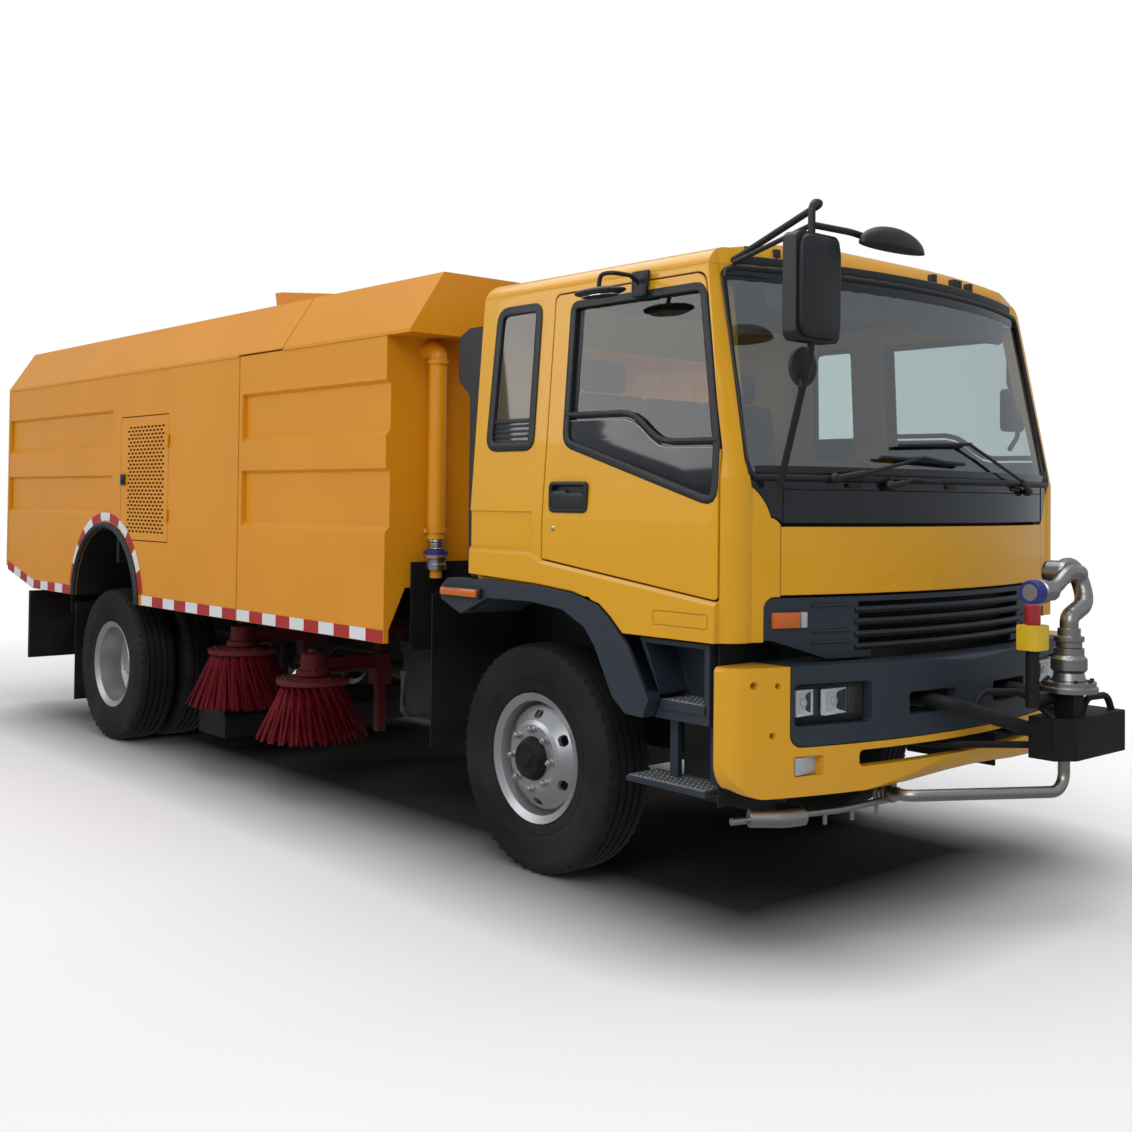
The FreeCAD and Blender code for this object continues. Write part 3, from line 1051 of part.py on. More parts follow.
# ---------------------------------------------------------------- brushes
def brush(name, place):
    """A disc brush: a turned plate and hub, with flared tufts set round its rim."""
    outline = [(0, "brush_tall - 62"), ("brush_plate - 45", "brush_tall - 62"),
               ("brush_plate", "brush_tall - 30"),
               ("brush_plate", "brush_tall - 12"), (150, "brush_tall"), (0, "brush_tall")]
    body = turned_body(name, outline, "V_Axis")
    lean = 27
    for row, (count, top_r, size, long) in enumerate(((22, 183, 21, 350), (14, 140, 18, 322))):
        tuft = body.newObject("PartDesign::AdditiveWedge", "%s_tuft_%d" % (name, row))
        for key, value in (("Xmin", -size), ("Xmax", size), ("Zmin", -size * 0.8), ("Zmax", size * 0.8),
                           ("Ymin", 0), ("Ymax", long),
                           ("X2min", -size * 0.55), ("X2max", size * 0.55), ("Z2min", -size * 0.5),
                           ("Z2max", size * 0.5)):
            setattr(tuft, key, value)
        tip = top_r + math.tan(math.radians(lean)) * 310
        turn = FreeCAD.Rotation(WAYS["Y"], -lean).multiply(FreeCAD.Rotation(WAYS["X"], 90))
        tuft.AttachmentSupport = [(origin_part(body, "XY_Plane"), "")]
        tuft.MapMode = "FlatFace"
        tuft.AttachmentOffset = FreeCAD.Placement(FreeCAD.Vector(tip, 0, 10), turn)
        polar(body, tuft, "Z_Axis", count)
    node(at(body, *place))


def brushes():
    """Four disc brushes; each hangs from an arm whose sleeve slides on a square post."""
    posts = []
    for where, place, low in (("front", "brush_front_y", "brush_front_z"),
                              ("rear", "brush_rear_y", "brush_rear_z")):
        level = "%s + brush_tall" % low
        for side, name in SIDES:
            title = "%s_%s" % (where, name)
            brush("brush_" + title, ("%d * brush_x" % side, fa(place), low))
            motor = lathe("motor_" + title, "Z",
                          [(0, 5), (95, 5), (95, 30), (70, 42), (70, 120), (52, 130), (0, 130)],
                          ("%d * brush_x" % side, fa(place), level))
            arm = block("beam_" + title, span(side, "post_x", "brush_x"),
                        (fa(place + " - 35"), fa(place + " + 35")), (level + " + 40", level + " + 95"))
            sleeve = block("sleeve_" + title, span(side, "post_x - 46", "post_x + 46"),
                           (fa(place + " - 46"), fa(place + " + 46")),
                           (level + " - 80", level + " + 100"))
            guard = block("guard_" + title, span(side, "post_x + 40", "brush_x - 60"),
                          (fa(place + " - 10"), fa(place + " + 10")), (level + " + 15", level + " + 41"))
            bore = block("bore_" + title, span(side, "post_x - 31", "post_x + 31"),
                         (fa(place + " - 31"), fa(place + " + 31")),
                         (level + " - 100", level + " + 120"))
            node(cut("arm_" + title, fuse("arm_metal_" + title, [motor, arm, sleeve, guard]), [bore]))
            post = block("post_" + title, span(side, "post_x - 25", "post_x + 25"),
                         (fa(place + " - 25"), fa(place + " + 25")), (300, 900))
            bracket = block("bracket_" + title, span(side, "rail_x", "post_x + 25"),
                            (fa(place + " - 60"), fa(place + " + 60")), (860, 900))
            web = extrude("bracket_web_" + title, "Y",
                          [("rail_x", 760), ("rail_x + 40", 860), ("rail_x", 860)], fa(place + " - 50"),
                          fa(place + " - 38"))
            posts.append(fuse("brush_post_" + title,
                              [post, bracket, web if side > 0 else mirrored("web_mirror_" + title, web)]))
    node(loose("brush_posts", posts))


# ---------------------------------------------------------------- front washer
def front_washer():
    """The washer ahead of the bumper: a box on two beams, the monitor's pipework and sprays."""
    x = "cannon_x"
    y = fa("cannon_y")
    box = extrude("washer_box", "Z", [(35, fa(-1740)), (35, fa(-1850)), (110, fa(-1905)),
                                      (505, fa(-1905)), (505, fa(-1740))], "box_low", "box_high")
    neck = block("washer_neck", (x + " - 42", x + " + 42"), (y + " - 42", y + " + 42"),
                 ("box_high - 2", 905))
    valve = lathe("washer_valve", "Z", [(0, 900), (110, 900), (110, 918), (102, 922), (102, 940),
                                        (62, 946), (54, 975), (66, 990),
                                        (66, 1030), (54, 1046), (54, 1070), (0, 1070)], (x, y, 0))
    aft = y + " + 38"
    drive = block("valve_drive", (-75, 20), (aft + " - 40", aft + " + 40"), (1075, 1170))
    drive_top = rod("valve_drive_top", 28, 80, (-28, aft, 1169), "Z")
    drive_leg = rod("valve_drive_leg", 26, 236, (-28, aft, 850), "Z")
    drive_foot = rod("valve_drive_foot", 22, 205, (-28, aft, 872), "X")
    beams = [feature("washer_beam_%d" % (start > 0),
                     pipe([(start, fa(-1330), 866), (start, fa(-1580), 866), (end, fa(-1760), 740)], 29))
             for start, end in ((-285, 75), (290, 340))]
    stays = [feature("washer_stay_%d" % (start > 0),
                     pipe([(start, fa(-1330), 676), (start, fa(-1440), 676), (end, fa(-1745), 684)], 14))
             for start, end in ((-200, 100), (330, 380))]
    guards = [feature("washer_guard_0", pipe([(-150, fa(-1598), 815), (-90, fa(-1610), 896),
                                              (60, fa(-1700), 892), (75, fa(-1830), 800)], 14)),
              feature("washer_guard_1", pipe([(255, fa(-1845), 800), (290, fa(-1850), 868),
                                              (440, fa(-1860), 866), (470, fa(-1865), 800)], 14))]
    parts = [box, neck, valve, drive, drive_top, drive_leg, drive_foot] + beams + stays + guards
    node(fuse("cannon_base", parts))
    swivel = lathe("swivel", "Z", [(0, 1075), (50, 1075), (50, 1096), (58, 1100), (58, 1118), (44, 1122),
                                   (44, 1150), (0, 1150)], (x, y, 0))
    behind = y + " + 35"
    riser = feature("riser", pipe([(x, y, 1140), (x, y, 1195), (x + " + 135", y, 1245),
                                   (x + " + 150", behind, 1345),
                                   (x + " + 70", behind, 1403), (x + " - 22", behind, 1372)], 36, 1.2))
    joint = lathe("tilt_joint", "Y", [(-45, 0), (45, 0), (45, 44), (30, 48), (-30, 48), (-45, 44)],
                  (x + " - 30", behind, 1372))
    node(fuse("cannon_head", [swivel, riser, joint]))
    ahead = y + " - 58"
    neck_pipe = rod("nozzle_neck", 30, 43.5, (x + " - 30", ahead, 1372), "Y")
    ball = bind(doc.addObject("Part::Sphere", "nozzle_ball"), Radius=33)
    at(ball, x + " - 30", ahead, 1372)
    elbow = feature("nozzle_elbow", pipe([(x + " - 30", ahead, 1372), (x + " - 115", ahead, 1384),
                                          (x + " - 205", ahead, 1330),
                                          (x + " - 260", ahead, 1312)], 28, 1.2))
    barrel = lathe("nozzle_barrel", "X", [(-405, 0), (-245, 0), (-245, 38), (-300, 38), (-306, 45),
                                          (-340, 45), (-346, 37), (-405, 43)],
                   (x, ahead, 1312))
    node(fuse("cannon_nozzle", [neck_pipe, ball, elbow, barrel]))
    feed = feature("feed_pipe",
                   pipe([(-410, fa(-1360), 505), (-440, fa(-1500), 512), (60, fa(-1850), 520),
                         (110, fa(-1850), 560), (110, fa(-1850), "box_low - 0.5")], 23, 1.0))
    coupling = lathe("feed_coupling", "Y", [(0, 0), (90, 0), (90, 34), (60, 34), (56, 27), (0, 27)],
                     (-412, fa(-1440), 505))
    rail = feature("spray_rail",
                   pipe([(-350, fa(-1400), 478), (-700, fa(-1370), 472), (-1150, fa(-1230), 468)], 13))
    tee = feature("spray_tee",
                  pipe([(-880, fa(-1345), 470), (-960, fa(-1330), 470), (-1075, fa(-1250), 474)], 33))
    hang = block("spray_hanger", (-420, -390), (fa(-1420), fa(-1330)), (468, 560))
    jets = [rod("jet_%d" % -place, 8, 50, (place, fa(aft), 425), "Z") for place,
            aft in ((-480, -1389), (-620, -1377), (-760, -1356))]
    node(fuse("spray_pipes", [feed, coupling, rail, tee, hang] + jets))


frame_rails()
axles()
wheels()
power_and_tanks()
cab()
cab_inside()
bumper()
steps_and_fenders()
mirrors()
tank_body()
hopper()
grille_door()
rear_door()
lift_cylinder()
pipework()
rear_gear()
brushes()
front_washer()
doc.recompute()

failed = [thing.Label for thing in doc.Objects if "Invalid" in thing.State or "Error" in thing.State]
if failed:
    raise RuntimeError("failed objects: %s" % failed)
bad = [thing.Label for thing in NODES if thing.Shape.isNull() or not thing.Shape.isValid()]
if bad:
    raise RuntimeError("bad shapes: %s" % bad)

os.makedirs("parts", exist_ok=True)
for thing in NODES:
    thing.Shape.exportStep("parts/%s.step" % thing.Label)
box = FreeCAD.BoundBox()
for thing in NODES:
    box.add(thing.Shape.BoundBox)
print("nodes", len(NODES), "box",
      [round(v) for v in (box.XMin, box.XMax, box.YMin, box.YMax, box.ZMin, box.ZMax)])
print("more solids than one:",
      [(thing.Label, len(thing.Shape.Solids)) for thing in NODES if len(thing.Shape.Solids) != 1])
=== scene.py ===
# %% [markdown]
# A street sweeper truck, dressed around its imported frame.  The frame already holds every CAD
# part at its size and place, so nothing in it is moved or reshaped here.  This file gives each
# surface its finish and adds the small pieces that a solid model leaves out: rubbers, lamps,
# tape, bristles and bolts.  Read it from the top; each step says what the piece is on the truck,
# how it could be made and why this way was taken.
# %% Load the frame
import bpy
import json
import math
import random
from mathutils import Matrix, Vector

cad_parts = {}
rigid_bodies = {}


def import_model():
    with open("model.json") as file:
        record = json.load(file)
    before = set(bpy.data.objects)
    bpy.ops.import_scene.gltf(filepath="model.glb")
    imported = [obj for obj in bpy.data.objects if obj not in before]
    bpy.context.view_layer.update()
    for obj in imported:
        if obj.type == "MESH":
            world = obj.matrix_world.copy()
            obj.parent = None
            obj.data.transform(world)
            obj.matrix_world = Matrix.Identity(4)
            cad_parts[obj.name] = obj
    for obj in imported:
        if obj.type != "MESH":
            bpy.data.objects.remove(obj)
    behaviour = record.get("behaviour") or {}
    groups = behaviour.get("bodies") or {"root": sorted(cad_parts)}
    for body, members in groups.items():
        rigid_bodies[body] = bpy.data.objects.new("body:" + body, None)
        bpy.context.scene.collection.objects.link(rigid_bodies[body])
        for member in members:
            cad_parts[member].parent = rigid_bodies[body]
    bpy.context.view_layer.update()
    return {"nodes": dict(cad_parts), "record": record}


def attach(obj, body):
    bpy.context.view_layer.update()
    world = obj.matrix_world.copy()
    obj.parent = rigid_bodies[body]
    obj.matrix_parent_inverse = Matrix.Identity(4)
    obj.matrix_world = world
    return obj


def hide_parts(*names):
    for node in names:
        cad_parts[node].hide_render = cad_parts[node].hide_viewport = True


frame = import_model()
NODES = frame["nodes"]
RECORD = frame["record"]
scene = bpy.context.scene
FRONT_AXLE = -2.145
REAR_AXLE = FRONT_AXLE + 4.25
SIDES = ((1, "left"), (-1, "right"))
bpy.ops.object.select_all(action="DESELECT")
known = set(bpy.data.objects.keys())


def tell(title):
    """Prints the pieces made since the last call, and how many faces they have."""
    fresh = [thing for thing in bpy.data.objects if thing.type == "MESH" and thing.name not in known]
    known.update(thing.name for thing in fresh)
    faces = sum(len(thing.data.polygons) for thing in fresh)
    print("%s: %d pieces, %d faces" % (title, len(fresh), faces))


print("frame: %d CAD parts on %d slots"
      % (len(NODES), len({row["material_slot"] for row in RECORD["subparts"]})))

# %% [markdown]
# Places along the truck are given aft of the front axle, as on a chassis drawing, because
# most of what is mounted on a lorry is set out from there.  The cab's nose is part of a 3 m
# circle in plan, and it leans back above the waist; the cab's sides lean in above the sill.
# Typing each point by hand would drift off those surfaces, so two functions give the nose and
# the side at any height, and every trim is placed by them.
# %% Places on the truck
NOSE = -1.436
BOW = 3.0
BELT = 1.73
LEAN_BACK = math.radians(12)
CAB_HALF = 1.19
SIDE_FOOT = 1.56
SIDE_LEAN = math.atan2(0.07, 0.97)


def aft(y):
    return FRONT_AXLE + y


def nose_y(x, z=0.0, out=0.0, nose=NOSE):
    """The row's Y of the cab's nose at one place, or a little ahead of it."""
    drop = BOW - math.sqrt(BOW ** 2 - x ** 2)
    return aft(nose - out + drop + max(0.0, z - BELT) * math.tan(LEAN_BACK))


def side_x(z, out=0.0):
    """How far out the cab's side is at a height."""
    return CAB_HALF + out - max(0.0, z - SIDE_FOOT) * math.tan(SIDE_LEAN)


print("nose at the middle %.3f, at 0.9 m out %.3f" % (nose_y(0.0), nose_y(0.9)))
print("side at the sill %.3f, at the roof %.3f" % (side_x(SIDE_FOOT), side_x(2.5)))


# %% [markdown]
# The camera stands off the truck's front right corner, about as high as a person's eyes.  It
# could look at a target, but then a change of place also changes the heading.  Here its three
# axes are worked out from a heading, a small upward tilt and a small roll, so each can be set
# alone.  The lens is shifted down a little instead of tilting the camera, which keeps the
# cab's upright edges upright.
# %% Camera
EYE = Vector((-4.861, -6.657, 1.644))
HEADING = math.radians(-41.34)
TILT = math.radians(1.15)
ROLL = 0.011
LENS = 42.465
SHIFT_UP = -0.0828


def add_camera():
    level_part = math.cos(TILT)
    forward = Vector((-math.sin(HEADING) * level_part, math.cos(HEADING) * level_part, math.sin(TILT)))
    level = forward.cross(Vector((0, 0, 1))).normalized()
    rise = level.cross(forward)
    right = level * math.cos(ROLL) + rise * math.sin(ROLL)
    up = rise * math.cos(ROLL) - level * math.sin(ROLL)
    data = bpy.data.cameras.new("camera")
    data.lens = LENS
    data.sensor_width = 36
    data.shift_y = SHIFT_UP
    data.clip_end = 200
    camera = bpy.data.objects.new("camera", data)
    scene.collection.objects.link(camera)
    turn = Matrix((right, up, -forward)).transposed().to_4x4()
    camera.matrix_world = Matrix.Translation(EYE) @ turn
    scene.camera = camera


add_camera()
print("camera: %.1f mm lens, %.2f m up" % (LENS, EYE.z))

# %% [markdown]
# The truck stands in a studio of large soft lamps.  One big lamp would do for a box, but the
# long body needs a key at the front corner, a second along the side, one over the roof and one
# on the far side.  The far one is hidden from gloss, so that no square patch of light lies on
# the windshield.
# %% Studio lamps
scene.view_settings.view_transform = "Standard"


def add_lamp(name, place, target, size, watts, gloss=True):
    data = bpy.data.lights.new(name, "AREA")
    data.shape = "RECTANGLE"
    data.size, data.size_y = size
    data.energy = watts
    lamp = bpy.data.objects.new(name, data)
    scene.collection.objects.link(lamp)
    lamp.location = place
    lamp.visible_glossy = gloss
    lamp.rotation_euler = (Vector(target) - Vector(place)).to_track_quat("-Z", "Y").to_euler()


add_lamp("key", (-9, -8, 8), (0, -1, 1), (6, 6), 470)
add_lamp("side", (-10, 5, 6), (0, 1, 1), (7, 5), 270)
add_lamp("top", (0, 0, 9), (0, 0, 0), (7, 12), 520)
add_lamp("left", (9, -3, 5), (0, 0, 1), (6, 8), 380, False)
print("lamps: %d W in all" % sum(lamp.energy for lamp in bpy.data.lights))

# %% [markdown]
# The backdrop should be white to the eye and yet not flood the truck with light.  A world can
# answer differently to different rays: a ray from the camera, or one that has passed through
# glass, meets plain white, and every other ray meets a soft blue-grey.  Light Path tells them
# apart.  Gloss also sees the blue-grey, so the paint keeps its depth.
# %% World


def new_node(tree, kind, **settings):
    node = tree.nodes.new(kind)
    for key, value in settings.items():
        setattr(node, key, value)
    return node


def add_world():
    """White to the camera and through glass; a soft blue-grey to every other ray."""
    world = bpy.data.worlds.new("studio")
    world.use_nodes = True
    scene.world = world
    tree = world.node_tree
    tree.nodes.clear()
    path = new_node(tree, "ShaderNodeLightPath")
    seen = new_node(tree, "ShaderNodeMath", operation="MAXIMUM")
    tree.links.new(path.outputs["Is Camera Ray"], seen.inputs[0])
    tree.links.new(path.outputs["Is Transmission Ray"], seen.inputs[1])
    sky = new_node(tree, "ShaderNodeBackground")
    sky.inputs["Color"].default_value = (0.80, 0.86, 0.92, 1)
    sky.inputs["Strength"].default_value = 0.46
    white = new_node(tree, "ShaderNodeBackground")
    white.inputs["Color"].default_value = (1, 1, 1, 1)
    white.inputs["Strength"].default_value = 1.0
    mix = new_node(tree, "ShaderNodeMixShader")
    out = new_node(tree, "ShaderNodeOutputWorld")
    tree.links.new(seen.outputs[0], mix.inputs["Fac"])
    tree.links.new(sky.outputs[0], mix.inputs[1])
    tree.links.new(white.outputs[0], mix.inputs[2])
    tree.links.new(mix.outputs[0], out.inputs["Surface"])


add_world()
print("world:", scene.world.name)

# %% [markdown]
# Dust, wear and grain are on every finish of the truck, so each is a node group that is built
# once and placed in each material with its own amounts.  Copying the nodes into thirty
# materials would look the same and be thirty places to mend.  These small tools build them.
# Noise reads Object coordinates, which stay on the piece when a joint moves it.
# %% Node tools


def new_group(name, inputs, outputs):
    """An empty node group, with its own input and output nodes."""
    group = bpy.data.node_groups.new(name, "ShaderNodeTree")
    for title, kind, value in inputs:
        socket = group.interface.new_socket(title, in_out="INPUT", socket_type=kind)
        if value is not None:
            socket.default_value = value
    for title, kind in outputs:
        group.interface.new_socket(title, in_out="OUTPUT", socket_type=kind)
    return group, group.nodes.new("NodeGroupInput"), group.nodes.new("NodeGroupOutput")


def noise(tree, scale, detail=3.0):
    """Noise that is fixed to the piece, so it stays the same from every side."""
    place = new_node(tree, "ShaderNodeTexCoord")
    made = new_node(tree, "ShaderNodeTexNoise")
    made.inputs["Scale"].default_value = scale
    made.inputs["Detail"].default_value = detail
    tree.links.new(place.outputs["Object"], made.inputs["Vector"])
    return made


def ramp(tree, source, low, high, to_low=0.0, to_high=1.0):
    made = new_node(tree, "ShaderNodeMapRange")
    made.inputs["From Min"].default_value = low
    made.inputs["From Max"].default_value = high
    made.inputs["To Min"].default_value = to_low
    made.inputs["To Max"].default_value = to_high
    tree.links.new(source, made.inputs["Value"])
    return made.outputs["Result"]


def calculate(tree, operation, first, second):
    made = new_node(tree, "ShaderNodeMath", operation=operation, use_clamp=True)
    for index, value in enumerate((first, second)):
        if isinstance(value, (int, float)):
            made.inputs[index].default_value = value
        else:
            tree.links.new(value, made.inputs[index])
    return made.outputs[0]


# %% [markdown]
# Street dust is thrown up by the wheels, so there is most of it near the road, and some
# settles on faces that look up.  Both are read from the surface itself: its height and the
# way it faces.  Noise breaks the film into patches.
# %% Dust


def dust_group():
    """Dust that builds up towards the ground and on faces that look up."""
    group, source, sink = new_group("dust", [("Amount", "NodeSocketFloat", 0.3)],
                                    [("Factor", "NodeSocketFloat")])
    place = new_node(group, "ShaderNodeTexCoord")
    axes = new_node(group, "ShaderNodeSeparateXYZ")
    group.links.new(place.outputs["Object"], axes.inputs[0])
    low = ramp(group, axes.outputs["Z"], 0.1, 1.3, 1.0, 0.12)
    facing = new_node(group, "ShaderNodeNewGeometry")
    turned = new_node(group, "ShaderNodeSeparateXYZ")
    group.links.new(facing.outputs["Normal"], turned.inputs[0])
    up = ramp(group, turned.outputs["Z"], 0.2, 0.9, 0.0, 0.55)
    patches = ramp(group, noise(group, 3.5, 6.0).outputs["Fac"], 0.38, 0.68)
    total = calculate(group, "MULTIPLY", calculate(group, "ADD", low, up), patches)
    group.links.new(calculate(group, "MULTIPLY", total, source.outputs["Amount"]), sink.inputs["Factor"])
    return group


DUST = dust_group()
DUST_COLOR = (0.25, 0.22, 0.18, 1)
print("group:", DUST.name)

# %% [markdown]
# Paint wears through first on sharp outer edges.  A Bevel node gives the normal that a rounded
# edge would have; where it differs from the true one there is an edge.  That costs nothing to
# model and works on the CAD parts too, whose edges are sharp.
# %% Edge wear


def wear_group():
    """Wear on convex edges: where a rounded normal differs from the true one."""
    group, source, sink = new_group("edge wear", [("Amount", "NodeSocketFloat", 0.3)],
                                    [("Factor", "NodeSocketFloat")])
    soft = new_node(group, "ShaderNodeBevel", samples=4)
    soft.inputs["Radius"].default_value = 0.006
    sharp = new_node(group, "ShaderNodeNewGeometry")
    dot = new_node(group, "ShaderNodeVectorMath", operation="DOT_PRODUCT")
    group.links.new(soft.outputs[0], dot.inputs[0])
    group.links.new(sharp.outputs["Normal"], dot.inputs[1])
    edge = ramp(group, dot.outputs["Value"], 0.985, 0.90)
    patches = ramp(group, noise(group, 30.0, 5.0).outputs["Fac"], 0.50, 0.62)
    worn = calculate(group, "MULTIPLY", edge, patches)
    group.links.new(calculate(group, "MULTIPLY", worn, source.outputs["Amount"]), sink.inputs["Factor"])
    return group


WEAR = wear_group()
print("group:", WEAR.name)

# %% [markdown]
# No pressed sheet or moulding has a razor edge.  Real bevels on the CAD parts are ruled out,
# because their meshes are never changed, so the same Bevel node rounds them for the light, and
# a fine noise bump over it gives rubber, cast metal or paint its own grain.
# %% Grain


def grain_group():
    """A fine bump over rounded edges, so that every sharp edge catches a little light."""
    inputs = [(title, "NodeSocketFloat", value)
              for title, value in (("Scale", 200.0), ("Strength", 0.1), ("Edge", 0.003))]
    group, source, sink = new_group("grain", inputs, [("Normal", "NodeSocketVector")])
    soft = new_node(group, "ShaderNodeBevel", samples=4)
    group.links.new(source.outputs["Edge"], soft.inputs["Radius"])
    pattern = noise(group, 1.0, 2.0)
    group.links.new(source.outputs["Scale"], pattern.inputs["Scale"])
    bump = new_node(group, "ShaderNodeBump")
    bump.inputs["Distance"].default_value = 0.002
    group.links.new(pattern.outputs["Fac"], bump.inputs["Height"])
    group.links.new(source.outputs["Strength"], bump.inputs["Strength"])
    group.links.new(soft.outputs[0], bump.inputs["Normal"])
    group.links.new(bump.outputs[0], sink.inputs["Normal"])
    return group


GRAIN = grain_group()
print("group:", GRAIN.name)

# %% [markdown]
# Paint, rubber, plastic, cloth and metal differ in few numbers: colour, roughness, how metallic
# they are, whether a clear coat lies on them, and how much dust and wear they carry.  One
# function therefore makes every solid finish.  Numbers that are the same all over go straight
# to the shader's own sockets; only what changes over the surface comes through nodes.
# %% Solid finishes


def use_group(tree, group, **inputs):
    made = new_node(tree, "ShaderNodeGroup", node_tree=group)
    for title, value in inputs.items():
        made.inputs[title].default_value = value
    return made.outputs[0]


def blend_color(tree, factor, first, second):
    mix = new_node(tree, "ShaderNodeMix", data_type="RGBA")
    tree.links.new(factor, mix.inputs["Factor"])
    for socket, value in ((mix.inputs[6], first), (mix.inputs[7], second)):
        if isinstance(value, tuple):
            socket.default_value = value
        else:
            tree.links.new(value, socket)
    return mix.outputs[2]


def finish(name, color, rough, metal=0.0, coat=0.0, dust=0.25, wear=0.0, worn=(0.05, 0.045, 0.04),
           grain=(220.0, 0.05),
           edge=0.003, vary=0.10, glow=0.0, shine=0.5):
    """A solid finish: base colour, edge wear, street dust, fine grain and an optional coat."""
    material = bpy.data.materials.new(name)
    material.use_nodes = True
    tree = material.node_tree
    shader = tree.nodes["Principled BSDF"]
    shade = tuple(value * (1 - vary) for value in color)
    patches = ramp(tree, noise(tree, 1.7, 4.0).outputs["Fac"], 0.3, 0.7)
    surface = blend_color(tree, patches, (*shade, 1), (*color, 1))
    if wear:
        surface = blend_color(tree, use_group(tree, WEAR, Amount=wear), surface, (*worn, 1))
    settled = use_group(tree, DUST, Amount=dust)
    surface = blend_color(tree, settled, surface, DUST_COLOR)
    tree.links.new(surface, shader.inputs["Base Color"])
    tree.links.new(ramp(tree, settled, 0.0, 1.0, rough, 0.9), shader.inputs["Roughness"])
    tree.links.new(use_group(tree, GRAIN, Scale=grain[0], Strength=grain[1], Edge=edge),
                   shader.inputs["Normal"])
    shader.inputs["Metallic"].default_value = metal
    shader.inputs["Specular IOR Level"].default_value = shine
    shader.inputs["Coat Weight"].default_value = coat
    shader.inputs["Coat Roughness"].default_value = 0.04
    if glow:
        shader.inputs["Emission Color"].default_value = (*color, 1)
        shader.inputs["Emission Strength"].default_value = glow
    return material


# %% [markdown]
# A pane is a few millimetres of clear glass.  A refracting shader would bend the view through both faces and
# turn dark at a slant, so the pane is made thin: clear through a tint, with a reflection that
# grows at a slant.  Only the outer face reflects.  On the inner face the same slant would count
# as total reflection, and the pane would turn opaque from one side.
# %% Thin glass


def pane(name, tint, rough=0.02, least=0.0, ribs=0.0):
    """Thin glass: clear through its tint, with a reflection on its outer face only."""
    material = bpy.data.materials.new(name)
    material.use_nodes = True
    tree = material.node_tree
    tree.nodes.clear()
    clear = new_node(tree, "ShaderNodeBsdfTransparent")
    clear.inputs["Color"].default_value = (*tint, 1)
    gloss = new_node(tree, "ShaderNodeBsdfGlossy")
    gloss.inputs["Roughness"].default_value = rough
    slant = new_node(tree, "ShaderNodeFresnel")
    slant.inputs["IOR"].default_value = 1.5
    facing = new_node(tree, "ShaderNodeNewGeometry")
    outer = ramp(tree, facing.outputs["Backfacing"], 0.0, 1.0, 1.0, 0.0)
    amount = calculate(tree, "MULTIPLY", outer, ramp(tree, slant.outputs[0], 0.0, 1.0, least, 1.0))
    if ribs:
        place = new_node(tree, "ShaderNodeTexCoord")
        waves = new_node(tree, "ShaderNodeTexWave", bands_direction="X")
        waves.inputs["Scale"].default_value = ribs
        tree.links.new(place.outputs["Object"], waves.inputs["Vector"])
        bump = new_node(tree, "ShaderNodeBump")
        bump.inputs["Distance"].default_value = 0.004
        tree.links.new(waves.outputs["Fac"], bump.inputs["Height"])
        tree.links.new(bump.outputs[0], gloss.inputs["Normal"])
    mix = new_node(tree, "ShaderNodeMixShader")
    out = new_node(tree, "ShaderNodeOutputMaterial")
    tree.links.new(amount, mix.inputs["Fac"])
    tree.links.new(clear.outputs[0], mix.inputs[1])
    tree.links.new(gloss.outputs[0], mix.inputs[2])
    tree.links.new(mix.outputs[0], out.inputs["Surface"])
    return material


# %% [markdown]
# These are the finishes of the frame's slots.  The cab is a chrome yellow and the body a redder
# yellow, both under a thin clear coat; the plastics are a blue-grey and two blacks.  The colours
# were tuned under the studio's own lamps.
# %% Finishes of the slots
YELLOW = (0.70, 0.335, 0.006)
ORANGE = (0.71, 0.275, 0.006)
FINISH = {
    "cab_yellow": finish("cab_yellow", YELLOW, 0.32, coat=0.35, shine=0.35, dust=0.08, grain=(3.0, 0.02),
                         edge=0.006, vary=0.05),
    "body_orange": finish("body_orange", ORANGE, 0.38, coat=0.22, shine=0.35, dust=0.09, grain=(2.2, 0.05),
                          edge=0.005, vary=0.07),
    "trim_blue_grey": finish("trim_blue_grey", (0.020, 0.029, 0.043), 0.42, dust=0.06, edge=0.006),
    "black_panel": finish("black_panel", (0.007, 0.008, 0.010), 0.14, coat=0.3, dust=0.0,
                          grain=(4.0, 0.01)),
    "black_plastic": finish("black_plastic", (0.012, 0.013, 0.015), 0.46, dust=0.04, edge=0.006),
    "frame_black": finish("frame_black", (0.007, 0.007, 0.008), 0.55, dust=0.08, wear=0.3, shine=0.25),
    "wheel_silver": finish("wheel_silver", (0.50, 0.50, 0.51), 0.34, metal=0.8, dust=0.14,
                           grain=(40.0, 0.06)),
    "tyre": finish("tyre", (0.008, 0.008, 0.008), 0.72, shine=0.25, dust=0.07, grain=(300.0, 0.35),
                   edge=0.004),
    "glass": pane("glass", (0.80, 0.83, 0.83), least=0.03),
    "lamp_clear": pane("lamp_clear", (0.93, 0.95, 0.96), least=0.05, ribs=26.0),
    "steel_pipe": finish("steel_pipe", (0.46, 0.455, 0.44), 0.33, metal=1.0, dust=0.16, grain=(60.0, 0.05)),
    "brush_red": finish("brush_red", (0.15, 0.003, 0.009), 0.60, shine=0.1, dust=0.03, vary=0.5,
                        grain=(120.0, 0.3)),
    "arm_red": finish("arm_red", (0.10, 0.003, 0.007), 0.5, shine=0.25, dust=0.10, wear=0.5),
    "cast_metal": finish("cast_metal", (0.030, 0.029, 0.028), 0.65, metal=0.3, dust=0.15, wear=0.3,
                         grain=(120.0, 0.4)),
    "seat_fabric": finish("seat_fabric", (0.07, 0.072, 0.08), 0.9, dust=0.0, grain=(400.0, 0.5), edge=0.02),
    "chrome_rod": finish("chrome_rod", (0.75, 0.75, 0.76), 0.08, metal=1.0, dust=0.0, grain=(10.0, 0.0)),
}
print("slots: %d finishes" % len(FINISH))

